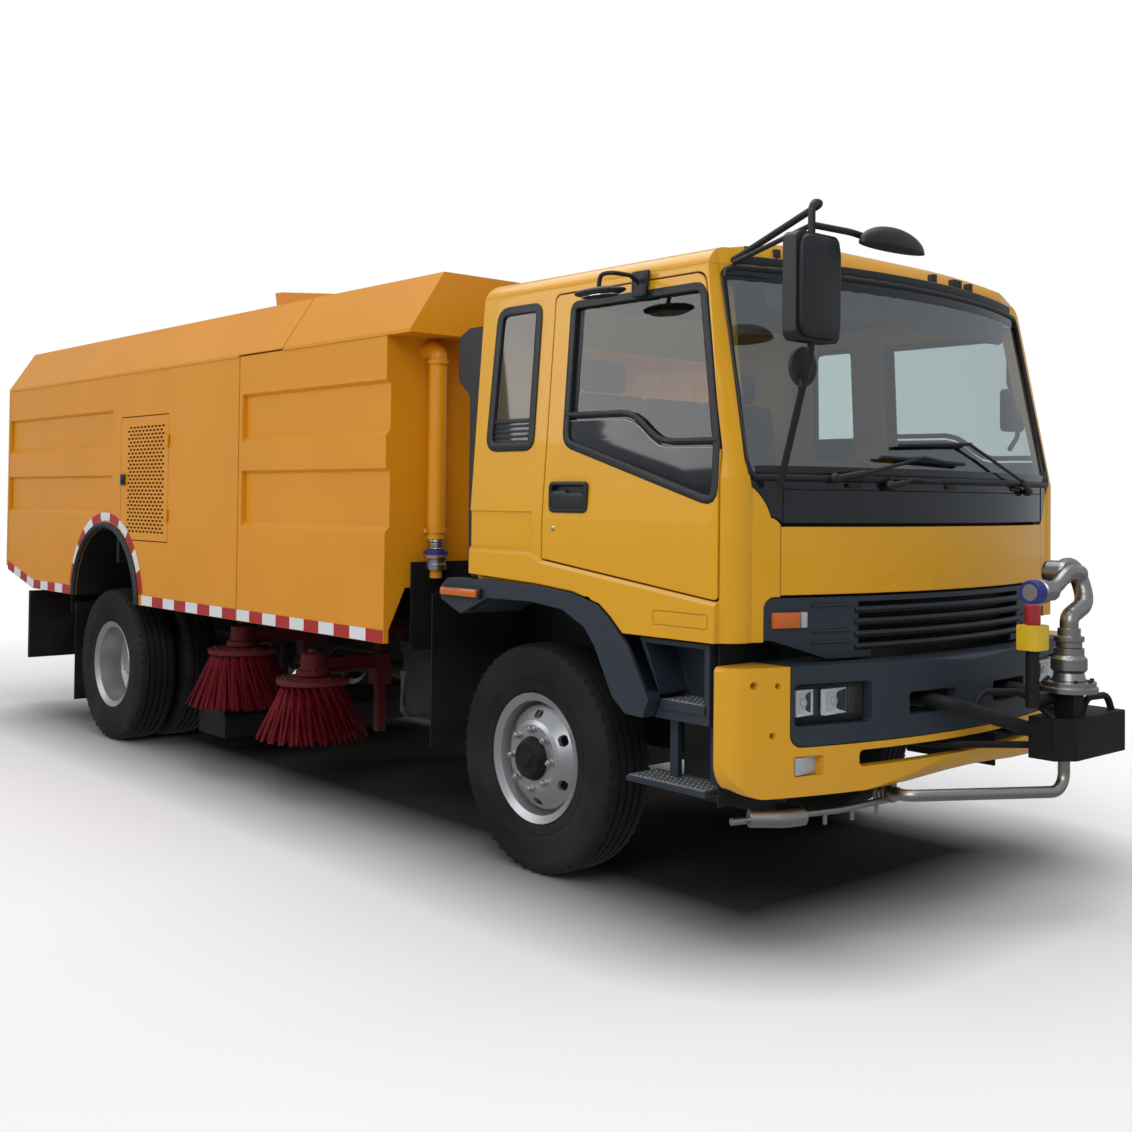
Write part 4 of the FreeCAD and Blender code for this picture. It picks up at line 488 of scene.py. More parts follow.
# %% [markdown]
# The small pieces need a few finishes of their own: lenses, reflecting tape, mirror glass, hose,
# brass and the chequered steps.  A lamp lens could be real glass over a bulb, which takes many
# samples to look calm.  Here it is a glossy, grained solid, and the coloured ones glow a trace.
# %% Finishes of the small pieces
AMBER = finish("amber_lens", (0.55, 0.115, 0.008), 0.18, coat=0.6, dust=0.12, grain=(90.0, 0.2), glow=0.04)
RED_LENS = finish("red_lens", (0.50, 0.01, 0.01), 0.15, coat=1.0, dust=0.05, grain=(90.0, 0.2), glow=0.05)
CLEAR_LENS = finish("clear_lens", (0.42, 0.42, 0.43), 0.14, coat=0.8, dust=0.12, grain=(90.0, 0.3))
BOWL = finish("lamp_bowl", (0.60, 0.61, 0.63), 0.35, metal=0.3, dust=0.0, grain=(70.0, 0.4), glow=0.04)
TAPE_RED = finish("tape_red", (0.42, 0.010, 0.008), 0.40, coat=0.2, dust=0.08, grain=(260.0, 0.25))
TAPE_WHITE = finish("tape_white", (0.72, 0.72, 0.73), 0.40, coat=0.2, dust=0.10, grain=(260.0, 0.25))
MIRROR = finish("mirror", (0.85, 0.86, 0.88), 0.02, metal=1.0, dust=0.0, grain=(1.0, 0.0), vary=0.0)
HOSE = finish("hose", (0.012, 0.012, 0.013), 0.55, dust=0.1, grain=(200.0, 0.3))
BRASS = finish("brass", (0.42, 0.33, 0.17), 0.35, metal=1.0, dust=0.25)
TREAD_PLATE = finish("tread_plate", (0.30, 0.31, 0.32), 0.45, metal=0.6, dust=0.35, wear=0.5,
                     worn=(0.6, 0.6, 0.6), grain=(70.0, 0.9))
VALVE_YELLOW = finish("valve_yellow", (0.80, 0.50, 0.01), 0.4, coat=0.3, dust=0.1)
VALVE_RED = finish("valve_red", (0.50, 0.02, 0.03), 0.4, coat=0.3, dust=0.1)
RING_BLUE = finish("ring_blue", (0.02, 0.02, 0.20), 0.4, dust=0.1)
LINING = finish("lining", (0.055, 0.057, 0.062), 0.9, dust=0.0)
SILVER_LINE = finish("silver_line", (0.45, 0.46, 0.47), 0.3, metal=0.8, dust=0.05)

SCREEN_GLASS = pane("screen_glass", (0.84, 0.90, 0.90), least=0.28)
BACK_GLASS = pane("back_glass", (0.84, 0.88, 0.88), least=0.05)
print("materials: %d" % len(bpy.data.materials))

# %% [markdown]
# Each CAD part gets the finish of its slot in one loop.  Two panes differ: the windshield
# carries a stronger reflection of the sky, and the panes behind the seats are nearly clear, so
# that the daylight behind the cab shows through both.
# %% Finishes on the CAD parts
SLOT_OF = {row["node"]: row["material_slot"] for row in RECORD["subparts"]}
for name, thing in NODES.items():
    thing.data.materials.clear()
    thing.data.materials.append(FINISH[SLOT_OF[name]])
NODES["windshield"].data.materials[0] = SCREEN_GLASS
NODES["cab_glass"].data.materials[0] = BACK_GLASS
print("CAD parts finished: %d" % len(SLOT_OF))

# %% [markdown]
# Operators act on what is selected, so every tool first picks its own piece and nothing else.
# A finished piece keeps its place in its mesh and its object at the origin; settle() does that
# after each move.  Edges get a small real bevel, because a rounded edge catches the light.
# %% Picking, settling and rounding
AXIS = {"X": Vector((1, 0, 0)), "Y": Vector((0, 1, 0)), "Z": Vector((0, 0, 1))}
TURN = {"X": (0, math.pi / 2, 0), "Y": (math.pi / 2, 0, 0), "Z": (0, 0, 0)}


def pick(*things):
    bpy.ops.object.select_all(action="DESELECT")
    for thing in things:
        thing.select_set(True)
    bpy.context.view_layer.objects.active = things[0]
    return things[0]


def settle(thing):
    """Moves the object's place and turn into its mesh."""
    pick(thing)
    bpy.ops.object.transform_apply(location=True, rotation=True, scale=True)
    return thing


def round_edges(thing, width, segments=2, angle=35):
    made = thing.modifiers.new("round", "BEVEL")
    made.width = width
    made.segments = segments
    made.angle_limit = math.radians(angle)
    pick(thing)
    bpy.ops.object.modifier_apply(modifier=made.name)
    return thing


# %% [markdown]
# Sheet, blocks, bolts and knobs start as a cube, a cylinder, a sphere or a ring.  Two corners
# are given for a block and a middle for the round ones, since that is how a drawing gives them.
# %% Blocks, drums, balls and rings


def cuboid(low, high, edge=0.0):
    """A box between two corners, with rounded edges."""
    low = Vector(low)
    high = Vector(high)
    bpy.ops.mesh.primitive_cube_add(size=1, location=(low + high) / 2)
    thing = bpy.context.object
    thing.scale = [abs(value) for value in high - low]
    settle(thing)
    return round_edges(thing, edge) if edge else thing


def drum(place, radius, length, axis, sides=32, edge=0.0):
    """A cylinder centred on its place."""
    bpy.ops.mesh.primitive_cylinder_add(vertices=sides, radius=radius, depth=length, location=place,
                                        rotation=TURN[axis])
    thing = settle(bpy.context.object)
    return round_edges(thing, edge, 2, 50) if edge else thing


def ball(place, radius, stretch=(1, 1, 1)):
    bpy.ops.mesh.primitive_uv_sphere_add(segments=32, ring_count=16, radius=radius, location=place)
    bpy.context.object.scale = stretch
    return settle(bpy.context.object)


def hoop(place, radius, thick, axis):
    bpy.ops.mesh.primitive_torus_add(major_radius=radius, minor_radius=thick,
                                     major_segments=48, minor_segments=12,
                                     location=place, rotation=TURN[axis])
    return settle(bpy.context.object)


# %% [markdown]
# Pipes, hoses, beads and wires follow a route.  A row of joined cylinders would show its joints,
# so the route is a curve with a round section, its corners rounded first, and is then turned
# into a mesh.  close() merges the doubled points that this leaves and turns all faces outwards.
# %% Tubes along a route


def close(thing):
    """Merges doubled points and turns every face outwards."""
    pick(thing)
    bpy.ops.object.mode_set(mode="EDIT")
    bpy.ops.mesh.select_all(action="SELECT")
    bpy.ops.mesh.remove_doubles(threshold=0.00002)
    bpy.ops.mesh.normals_make_consistent(inside=False)
    bpy.ops.object.mode_set(mode="OBJECT")
    return thing


def path(routes, closed=False, flat=False, **sizes):
    """A curve through points, as a mesh: a tube, a ribbon or a filled plate by its sizes."""
    bpy.ops.curve.primitive_bezier_curve_add()
    thing = bpy.context.object
    curve = thing.data
    curve.splines.clear()
    curve.dimensions = "2D" if flat else "3D"
    curve.fill_mode = "BOTH" if flat else "FULL"
    curve.twist_mode = "Z_UP"
    for route in routes:
        spline = curve.splines.new("POLY")
        spline.points.add(len(route) - 1)
        for point, spot in zip(spline.points, route):
            point.co = (*spot, 0, 1)[:4] if len(spot) == 2 else (*spot, 1)
        spline.use_cyclic_u = closed
    for key, value in sizes.items():
        setattr(curve, key, value)
    pick(thing)
    thing.location = (0, 0, 0)
    thing.rotation_euler = (0, 0, 0)
    bpy.ops.object.convert(target="MESH")
    return close(bpy.context.object)


def bent(points, radius, steps=6):
    """A route with its corners rounded to a radius."""
    spots = [Vector(point) for point in points]
    route = [spots[0]]
    for before, corner, after in zip(spots, spots[1:], spots[2:]):
        into = before - corner
        out = after - corner
        half = into.angle(out) / 2
        reach = min(radius / max(0.05, math.tan(half)), into.length * 0.48, out.length * 0.48)
        first = corner + into.normalized() * reach
        last = corner + out.normalized() * reach
        for index in range(steps + 1):
            t = index / steps
            route.append(first * (1 - t) ** 2 + corner * 2 * t * (1 - t) + last * t ** 2)
    route.append(spots[-1])
    return route


def tube(points, radius, bend=0.05, closed=False):
    """A round bar or hose along a route."""
    return path([bent(points, bend)], closed, bevel_depth=radius, bevel_resolution=3, use_fill_caps=True)


# %% [markdown]
# Rubbers, glass and folded trims are flat shapes with some thickness.  A filled flat curve gives
# any outline, with holes, an even thickness and rounded edges in one step, where a cube would
# need many cuts.  corners() rounds an outline and grown() makes the next size up or down, so a
# rubber is the gap between two sizes of its window.
# %% Plates, outlines and ribbons


def plate(outlines, thickness, axis, place, edge=0.0):
    """A flat plate, with holes for the later outlines, facing an axis at a place along it.

    Outlines are (y, z) for X, (x, z) for Y and (x, y) for Z.
    """
    thing = path(outlines, True, True, extrude=thickness / 2 - edge, bevel_depth=edge, bevel_resolution=1)
    if axis == "X":
        thing.rotation_euler = Matrix(((0, 0, 1), (1, 0, 0), (0, 1, 0))).to_euler()
    elif axis == "Y":
        thing.rotation_euler = (math.pi / 2, 0, 0)
    thing.location = AXIS[axis] * place
    return settle(thing)


def corners(outline, radius, steps=4):
    """Rounds a closed outline of (u, v) corners; a third entry is a corner's own radius."""
    route = []
    for index, corner in enumerate(outline):
        before = Vector(outline[index - 1][:2])
        after = Vector(outline[(index + 1) % len(outline)][:2])
        middle = Vector(corner[:2])
        into = before - middle
        out = after - middle
        own = corner[2] if len(corner) > 2 else radius
        half = into.angle(out) / 2
        reach = min(own / math.tan(half), into.length * 0.48, out.length * 0.48)
        first = middle + into.normalized() * reach
        last = middle + out.normalized() * reach
        for step in range(steps + 1):
            t = step / steps
            route.append(tuple(first * (1 - t) ** 2 + middle * 2 * t * (1 - t) + last * t ** 2))
    return route


def grown(outline, amount):
    """A rounded outline moved outwards (or inwards, when negative) all round."""
    count = len(outline)
    area = sum(outline[i - 1][0] * outline[i][1] - outline[i][0] * outline[i - 1][1] for i in range(count))
    sign = 1 if area > 0 else -1
    moved = []
    for index, spot in enumerate(outline):
        along = Vector(outline[(index + 1) % count]) - Vector(outline[index - 1])
        if along.length < 1e-9:
            moved.append(spot)
            continue
        along.normalize()
        moved.append((spot[0] + sign * along.y * amount, spot[1] - sign * along.x * amount))
    return moved


def ribbon(points, height, thickness):
    """An upright strip along a level route; the route is its middle line."""
    return path([points], extrude=height / 2 - thickness / 2, bevel_depth=thickness / 2, bevel_resolution=1,
                use_fill_caps=True)


# %% [markdown]
# Tyres, hubs, flanges and brush plates are lathe work: half a section is spun round its axis.
# Bolts and bristles repeat round an axis and louvres along a line; the first is modelled once
# and the spin or an array copies it, so all stay alike.
# %% Turned pieces, rings and rows


def turned(profile, place, axis, steps=64):
    """A turned piece from (along, radius) pairs."""
    thing = path([[(along, 0, radius) for along, radius in profile]])
    pick(thing)
    bpy.ops.object.mode_set(mode="EDIT")
    bpy.ops.mesh.select_all(action="SELECT")
    bpy.ops.mesh.spin(steps=steps, angle=2 * math.pi, center=(0, 0, 0), axis=(1, 0, 0))
    bpy.ops.mesh.select_all(action="SELECT")
    bpy.ops.mesh.remove_doubles(threshold=0.00005)
    bpy.ops.mesh.normals_make_consistent(inside=False)
    bpy.ops.object.mode_set(mode="OBJECT")
    thing.rotation_euler = {"X": (0, 0, 0), "Y": (0, 0, math.pi / 2), "Z": (0, -math.pi / 2, 0)}[axis]
    thing.location = place
    return settle(thing)


def ring_of(thing, place, axis, count):
    """Repeats a piece round an axis."""
    pick(thing)
    bpy.ops.object.mode_set(mode="EDIT")
    bpy.ops.mesh.select_all(action="SELECT")
    bpy.ops.mesh.spin(steps=count - 1, dupli=True, angle=2 * math.pi * (count - 1) / count,
                      center=place, axis=AXIS[axis])
    bpy.ops.mesh.select_all(action="SELECT")
    bpy.ops.mesh.normals_make_consistent(inside=False)
    bpy.ops.object.mode_set(mode="OBJECT")
    return thing


def row_of(thing, step, count):
    """Repeats a piece along a straight step."""
    made = thing.modifiers.new("row", "ARRAY")
    made.count = count
    made.use_relative_offset = False
    made.use_constant_offset = True
    made.constant_offset_displace = step
    pick(thing)
    bpy.ops.object.modifier_apply(modifier=made.name)
    return thing


# %% [markdown]
# The truck's two sides are alike in most places.  A mirror modifier would make one piece of
# both, and a door could not then open alone, so across() makes a second mesh.  lean() tips what
# was drawn upright onto the cab's leaning side.
# %% Joining, mirroring and moving


def join(things):
    pick(*things)
    bpy.ops.object.join()
    return bpy.context.object


def across(thing):
    """A mirror image on the truck's other side, as a mesh of its own."""
    pick(thing)
    bpy.ops.object.duplicate()
    other = bpy.context.object
    other.scale = (-1, 1, 1)
    settle(other)
    bpy.ops.object.mode_set(mode="EDIT")
    bpy.ops.mesh.select_all(action="SELECT")
    bpy.ops.mesh.normals_make_consistent(inside=False)
    bpy.ops.object.mode_set(mode="OBJECT")
    return other


def moved(thing, step):
    thing.location = step
    return settle(thing)


def lean(thing, side):
    """Tips a piece drawn on an upright side so that it lies on the cab's leaning side."""
    thing.rotation_euler = (0, 0, 0)
    pivot = Matrix.Translation((side * CAB_HALF, 0, SIDE_FOOT))
    thing.matrix_world = pivot @ Matrix.Rotation(-side * SIDE_LEAN, 4, "Y") @ pivot.inverted()
    return settle(thing)


# %% [markdown]
# Last, a piece gets its name, its finish and the body that carries it when a joint moves.  Doing
# this in one place means that none is forgotten.
# %% Naming a piece


def finished(thing, name, material, body, angle=35):
    settle(thing)
    thing.name = name
    thing.data.name = name
    thing.data.materials.clear()
    thing.data.materials.append(material)
    pick(thing)
    bpy.ops.object.shade_smooth_by_angle(angle=math.radians(angle))
    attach(thing, body)
    return thing


def pair(thing, name, material, body, angle=35):
    """Finishes a right-hand piece and its mirror image; "{}" in a body is the side."""
    other = across(thing)
    finished(other, name + "_left", material, body.format("left"), angle)
    return finished(thing, name + "_right", material, body.format("right"), angle)


def plain(slot_name):
    """The finish of one of the record's slots."""
    return FINISH[slot_name]


tell("piece tools")

# %% [markdown]
# A lorry tyre has straight grooves all the way round, ribs on its walls and blocks at both
# shoulders.  The CAD tyres are plain, so these replace them.  The profile with its grooves is
# turned once; the blocks are a ring of small cuboids, which is far lighter than cutting a tread
# pattern into the tyre.  The middle band's blocks lie a little proud of it.
# %% Tyres
HUB_Z = 0.503
FRONT_HALF = 0.95
DUAL_MID = 0.936
DUAL_HALF = 0.154


def tyre_profile():
    wall = [(0.089, 0.2625), (0.090, 0.287), (0.106, 0.2885), (0.1125, 0.296), (0.1135, 0.303),
            (0.117, 0.318),
            (0.1195, 0.330), (0.1175, 0.333), (0.1185, 0.337), (0.1225, 0.342), (0.1265, 0.372),
            (0.128, 0.400),
            (0.1275, 0.424), (0.126, 0.430), (0.1275, 0.436), (0.1265, 0.452), (0.122, 0.468),
            (0.1185, 0.480),
            (0.112, 0.489), (0.103, 0.4955)]
    tread = [(0.094, 0.499)]
    for middle in (0.062, 0.021):
        tread += [(middle + 0.006, 0.5015), (middle + 0.004, 0.487), (middle - 0.004, 0.487),
                  (middle - 0.006, 0.502)]
    half = wall + tread
    return half + [(-along, radius) for along, radius in reversed(half)] + half[:1]


def tyre(x):
    """A tyre with cross cuts in both shoulders."""
    carcass = turned(tyre_profile(), (x, 0, 0), "X", 96)
    lugs = []
    for side in (1, -1):
        lug = cuboid((x + side * 0.096, -0.0105, 0.488), (x + side * 0.1165, 0.0105, 0.4945), 0.002)
        lugs.append(ring_of(lug, (0, 0, 0), "X", 52))
    inner = cuboid((x - 0.015, -0.009, 0.495), (x + 0.015, 0.009, 0.5028), 0.0015)
    lugs.append(ring_of(inner, (0, 0, 0), "X", 60))
    return join([carcass] + lugs)


for side, word in SIDES:
    front = moved(tyre(side * FRONT_HALF), (0, FRONT_AXLE, HUB_Z))
    finished(front, "tyre_front_" + word, plain("tyre"), "front_wheel_" + word)
    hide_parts("front_tyre_" + word)
    twin = join([tyre(side * DUAL_MID + DUAL_HALF), tyre(side * DUAL_MID - DUAL_HALF)])
    moved(twin, (0, REAR_AXLE, HUB_Z))
    finished(twin, "tyres_rear_" + word, plain("tyre"), "rear_wheel_" + word)
    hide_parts("rear_tyres_" + word)
tell("tyres")

# %% [markdown]
# Eight nuts hold each wheel, with a washer under each and the stud showing through.  They sit on
# one circle, so one nut is built from three drums and spun round the hub.  The front hub is a
# dark stepped casting; the rear hub carries a ring of small shaft bolts.
# %% Wheel nuts and hubs
NUT_CIRCLE = 0.129
NUT_COUNT = 8
FRONT_FACE = FRONT_HALF + 0.118
REAR_FACE = DUAL_MID + 0.012


def wheel_nuts(face, radius, count, out):
    """Nuts with washers on a wheel's face; out is the way the face looks."""
    washer = drum((face + out * 0.003, 0, radius), 0.0175, 0.006, "X", 24, 0.001)
    nut = drum((face + out * 0.016, 0, radius), 0.0145, 0.024, "X", 6, 0.002)
    stud = drum((face + out * 0.030, 0, radius), 0.0075, 0.010, "X", 12, 0.001)
    return ring_of(join([washer, nut, stud]), (0, 0, 0), "X", count)


def hub_cap(face, out):
    """A dark hub with a stepped face and a raised middle."""
    steps = [(0.0405, 0.0), (0.042, 0.028), (0.035, 0.033), (0.035, 0.060), (0.040, 0.065),
             (0.037, 0.078), (0.018, 0.090), (0.0, 0.097), (0.0, 0.0)]
    return turned([(face + out * along, radius) for along, radius in steps], (0, 0, 0), "X", 48)


for side, word in SIDES:
    nuts = moved(wheel_nuts(side * FRONT_FACE, NUT_CIRCLE, NUT_COUNT, side), (0, FRONT_AXLE, HUB_Z))
    finished(nuts, "front_nuts_" + word, plain("wheel_silver"), "front_wheel_" + word)
    cap = moved(hub_cap(side * FRONT_FACE, side), (0, FRONT_AXLE, HUB_Z))
    finished(cap, "front_hub_" + word, plain("frame_black"), "front_wheel_" + word)
    nuts = moved(wheel_nuts(side * REAR_FACE, NUT_CIRCLE, NUT_COUNT, side), (0, REAR_AXLE, HUB_Z))
    finished(nuts, "rear_nuts_" + word, plain("wheel_silver"), "rear_wheel_" + word)
    bolt = drum((side * (DUAL_MID + 0.152), 0, 0.062), 0.008, 0.012, "X", 6, 0.001)
    bolts = moved(ring_of(bolt, (0, 0, 0), "X", NUT_COUNT), (0, REAR_AXLE, HUB_Z))
    finished(bolts, "rear_hub_bolts_" + word, plain("wheel_silver"), "rear_wheel_" + word)
tell("nuts and hubs")

# %% [markdown]
# A sweeping brush is a steel plate with bundles of stiff red bristles round its rim, splayed by
# use.  Hair would not export, and one cone would show no bristles.  So a bundle of thin flat
# blades is fanned by small random turns and repeated round the plate, in an outer and an inner
# ring.  The random draws have a fixed seed, so every run gives the same brush.
# %% Bristles, plate and bolts
DRAW = random.Random(7)
BRUSH_X = 1.0
ROOT_RISE = 0.322
HEAD_RISE = 0.36
BRUSHES = {"front": (aft(1.98), 0.290), "rear": (aft(2.80), 0.380)}


def bundle(radius, lean_out, length, blades, spread):
    """Bristles that start together under the plate and fan out towards the road."""
    made = []
    for index in range(blades):
        bpy.ops.mesh.primitive_cube_add(size=1)
        blade = bpy.context.object
        reach = length * DRAW.uniform(0.93, 1.0)
        blade.scale = (0.0035, 0.013, reach)
        settle(blade)
        moved(blade, (0, 0, -reach / 2))
        blade.rotation_euler = (DRAW.uniform(-spread, spread), -lean_out + DRAW.uniform(-spread, spread),
                                DRAW.uniform(0, 3))
        settle(blade)
        made.append(moved(blade, (radius + DRAW.uniform(-0.010, 0.010), DRAW.uniform(-0.012, 0.012), 0)))
    return join(made)


def brush(title, place):
    """A brush at its place: plate, rim, bolts and two rings of bristle bundles."""
    outer = ring_of(bundle(0.168, math.radians(27), 0.345, 20, 0.055), (0, 0, 0), "Z", 24)
    inner = ring_of(bundle(0.125, math.radians(20), 0.320, 8, 0.08), (0, 0, 0), "Z", 18)
    skirt = join([outer, inner])
    moved(skirt, Vector(place) + Vector((0, 0, ROOT_RISE)))
    finished(skirt, "bristles_" + title, plain("brush_red"), "brush_" + title)
    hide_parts("brush_" + title)
    disc = turned([(0.300, 0.0), (0.300, 0.150), (0.322, 0.200), (0.345, 0.204), (0.350, 0.196),
                   (0.352, 0.130), (0.359, 0.110), (0.359, 0.0)], place, "Z", 56)
    finished(disc, "brush_plate_" + title, plain("arm_red"), "brush_" + title)
    x, y, z = place
    bolts = ring_of(drum((x + 0.165, y, z + 0.355), 0.010, 0.010, "Z", 6, 0.001), place, "Z", 8)
    finished(bolts, "brush_bolts_" + title, plain("cast_metal"), "brush_" + title)


def arm_fittings(title, side, place_y, top):
    """The motor's cap and bolts over a brush, and its two hoses along the arm."""
    cap = drum((side * BRUSH_X, place_y, top + 0.138), 0.030, 0.018, "Z", 24, 0.003)
    bolt = drum((side * BRUSH_X + 0.083, place_y, top + 0.036), 0.008, 0.016, "Z", 6, 0.001)
    bolts = ring_of(bolt, (side * BRUSH_X, place_y, 0), "Z", 6)
    finished(join([cap, bolts]), "motor_bolts_" + title, plain("cast_metal"), "arm_" + title)
    for index, shift in enumerate((-0.022, 0.022)):
        route = [(side * (BRUSH_X - 0.06), place_y + shift, top + 0.10),
                 (side * (BRUSH_X - 0.14), place_y + shift, top + 0.155),
                 (side * 0.72, place_y + shift, top + 0.125),
                 (side * 0.62, place_y + shift * 2.2, top + 0.108)]
        line = tube(route, 0.0095, 0.06)
        finished(line, "arm_hose_%s_%d" % (title, index), HOSE, "arm_" + title)


for where, (place_y, low) in BRUSHES.items():
    for side, word in SIDES:
        brush(where + "_" + word, (side * BRUSH_X, place_y, low))
        arm_fittings(where + "_" + word, side, place_y, low + HEAD_RISE)
tell("brushes")

# %% [markdown]
# Red and white reflecting tape runs along the body's lower edge, over the rear wheel's arch and
# up the tail.  It could be a stripe in the paint's material, but then it could not follow the
# arch.  So each dash is a thin plate cut to its stretch of a route, and one function lays them
# along any route on the body's side.
# %% Laying tape
BODY_HALF = 1.24
TAPE_LOW = 0.932
TAPE_TALL = 0.062
DASH = 0.150
ARCH_Y = aft(4.298)
ARCH_Z = 0.902
ARCH_R = 0.513
ARCH_FOOT = 0.934


def along_route(route, start, end):
    """The spots of a (y, z) route between two distances along it."""
    spots = []
    gone = 0.0
    for first, last in zip(route, route[1:]):
        first = Vector(first)
        last = Vector(last)
        step = (last - first).length
        for distance in (start, end):
            if gone <= distance <= gone + step:
                spots.append((distance, first.lerp(last, (distance - gone) / step)))
        if start < gone < end:
            spots.append((gone, first))
        gone += step
    spots.sort(key=lambda spot: spot[0])
    return [spot for _, spot in spots]


def route_length(route):
    return sum((Vector(last) - Vector(first)).length for first, last in zip(route, route[1:]))


def tape(name, route, body, tall=TAPE_TALL, x=-BODY_HALF - 0.0012):
    """Dashes of red and white along the middle line of a route, on both sides of the truck."""
    total = route_length(route)
    count = max(1, round(total / DASH))
    dashes = {0: [], 1: []}
    for index in range(count):
        spots = along_route(route, total * index / count, total * (index + 1) / count - 0.0005)
        if len(spots) < 2:
            continue
        upper = []
        lower = []
        for number, spot in enumerate(spots):
            near = spots[min(number + 1, len(spots) - 1)] - spots[max(number - 1, 0)]
            near.normalize()
            side = Vector((-near.y, near.x)) * tall / 2
            upper.append(tuple(spot + side))
            lower.append(tuple(spot - side))
        dashes[index % 2].append(plate([lower + upper[::-1]], 0.002, "X", x))
    for kind, material, word in ((0, TAPE_RED, "red"), (1, TAPE_WHITE, "white")):
        if dashes[kind]:
            made = join(dashes[kind]) if len(dashes[kind]) > 1 else dashes[kind][0]
            other = across(made)
            finished(made, "tape_%s_%s_right" % (word, name), material, body)
            finished(other, "tape_%s_%s_left" % (word, name), material, body)


def arch_route(radius, first, last, steps=24):
    angles = [math.radians(first + (last - first) * index / steps) for index in range(steps + 1)]
    return [(ARCH_Y - radius * math.cos(angle), ARCH_Z + radius * math.sin(angle)) for angle in angles]


# %% [markdown]
# The routes are the tape's middle lines: the fixed tank section, then the hopper before and
# after the wheel arch.  The two stay separate pieces, since the hopper tips and the tank stays.
# %% Tape on the body
TAPE_MID = TAPE_LOW + TAPE_TALL / 2 + 0.004
tape("tank", [(aft(0.935), TAPE_MID), (aft(2.42), TAPE_MID)], "chassis")
tape("hopper_fore", [(aft(2.44), TAPE_MID), (aft(3.70), TAPE_MID)], "hopper")
tape("hopper_aft", [(aft(4.90), TAPE_MID), (aft(5.615), TAPE_MID), (aft(6.165), TAPE_MID + 0.118)],
     "hopper")
tape("arch", arch_route(ARCH_R + 0.078, 10, 170), "hopper", 0.055)
tell("tape")

# %% [markdown]
# A rubber bead edges the wheel arch, and behind it a dark sheet tunnel keeps the wheel's dirt
# out of the body.  The tunnel is an open cylinder whose lower part is deleted, given a wall by
# Solidify.  Points are chosen by their height, after everything is deselected, because a new
# primitive is selected all over and the whole tunnel would go.
# %% Wheel arch trim


def arch_trim():
    bead = [(-BODY_HALF - 0.004, y, z) for y, z in arch_route(ARCH_R + 0.020, 3.5, 176.5, 40)]
    flare = path([bead], bevel_depth=0.022, bevel_resolution=3, use_fill_caps=True)
    bpy.ops.mesh.primitive_cylinder_add(vertices=96, radius=ARCH_R - 0.004, depth=0.72,
                                        end_fill_type="NOTHING", location=(-0.875, ARCH_Y, ARCH_Z),
                                        rotation=TURN["X"])
    tunnel = settle(bpy.context.object)
    bpy.ops.object.mode_set(mode="EDIT")
    bpy.ops.mesh.select_all(action="DESELECT")
    bpy.ops.object.mode_set(mode="OBJECT")
    for vertex in tunnel.data.vertices:
        vertex.select = vertex.co.z < ARCH_FOOT - 0.02
    bpy.ops.object.mode_set(mode="EDIT")
    bpy.ops.mesh.delete(type="VERT")
    bpy.ops.object.mode_set(mode="OBJECT")
    sheet = tunnel.modifiers.new("sheet", "SOLIDIFY")
    sheet.thickness = 0.004
    bpy.ops.object.modifier_apply(modifier=sheet.name)
    end = plate([arch_route(ARCH_R - 0.005, 3, 177, 40)], 0.004, "X", -0.517)
    pair(flare, "arch_flare", plain("black_plastic"), "hopper")
    brace = cuboid((-1.219, aft(4.117), 1.187), (-0.515, aft(4.153), 1.412))
    pair(join([tunnel, end, brace]), "arch_liner", plain("frame_black"), "hopper")


arch_trim()
tell("arch trim")

# %% [markdown]
# Each door window sits in a black rubber, and a black panel with a curved upper edge fills its
# lower part, edged by a soft roll and a bright bead.  The rubber is the gap between two sizes of
# the window's outline.  All of it is drawn upright and then leaned with the cab's side, which
# keeps the outlines simple.
# %% Door windows
DOOR_WINDOW = corners([(aft(-0.292), 1.872, 0.075), (aft(-0.292), 2.478, 0.045),
                       (aft(-1.054), 2.478, 0.060), (aft(-1.172), 1.850, 0.030),
                       (aft(-1.176), 1.618, 0.060)], 0.04)
QUARTER = corners([(aft(0.213), 1.867, 0.055), (aft(0.190), 2.485, 0.060),
                   (aft(-0.088), 2.485, 0.045), (aft(-0.088), 1.867, 0.045)], 0.045)
SILL_CURVE = [(-0.300, 1.972), (-0.640, 1.968), (-0.700, 1.955), (-0.745, 1.930),
              (-0.800, 1.888), (-0.850, 1.858), (-0.905, 1.846), (-1.163, 1.844)]


def door_trims(side, word):
    surround = lean(plate([grown(DOOR_WINDOW, 0.002), grown(DOOR_WINDOW, -0.026)], 0.030, "X",
                          side * 1.178, 0.003), side)
    finished(surround, "window_rubber_" + word, plain("black_plastic"), "door_" + word)
    upper = [(aft(y), z) for y, z in SILL_CURVE]
    foot = [(aft(-1.163), 1.72), (aft(-1.158), 1.655), (aft(-1.120), 1.638),
            (aft(-0.315), 1.880), (aft(-0.300), 1.905)]
    lower = lean(plate([upper + foot], 0.020, "X", side * 1.176, 0.003), side)
    finished(lower, "window_panel_" + word, plain("black_panel"), "door_" + word)
    for name, rise, radius, material in (("bead", 0.0, 0.004, SILVER_LINE),
                                         ("roll", 0.026, 0.013, plain("black_plastic"))):
        line = lean(tube([(side * 1.182, aft(y), z + rise) for y, z in SILL_CURVE], radius, 0.03), side)
        finished(line, "window_%s_%s" % (name, word), material, "door_" + word)
    channel_x = side * 1.168
    post = cuboid((channel_x - 0.006, aft(-0.352), 1.95), (channel_x + 0.006, aft(-0.324), 2.465), 0.003)
    lean(post, side)
    finished(post, "window_channel_" + word, plain("black_plastic"), "door_" + word)


for side, word in SIDES:
    door_trims(side, word)
tell("door windows")

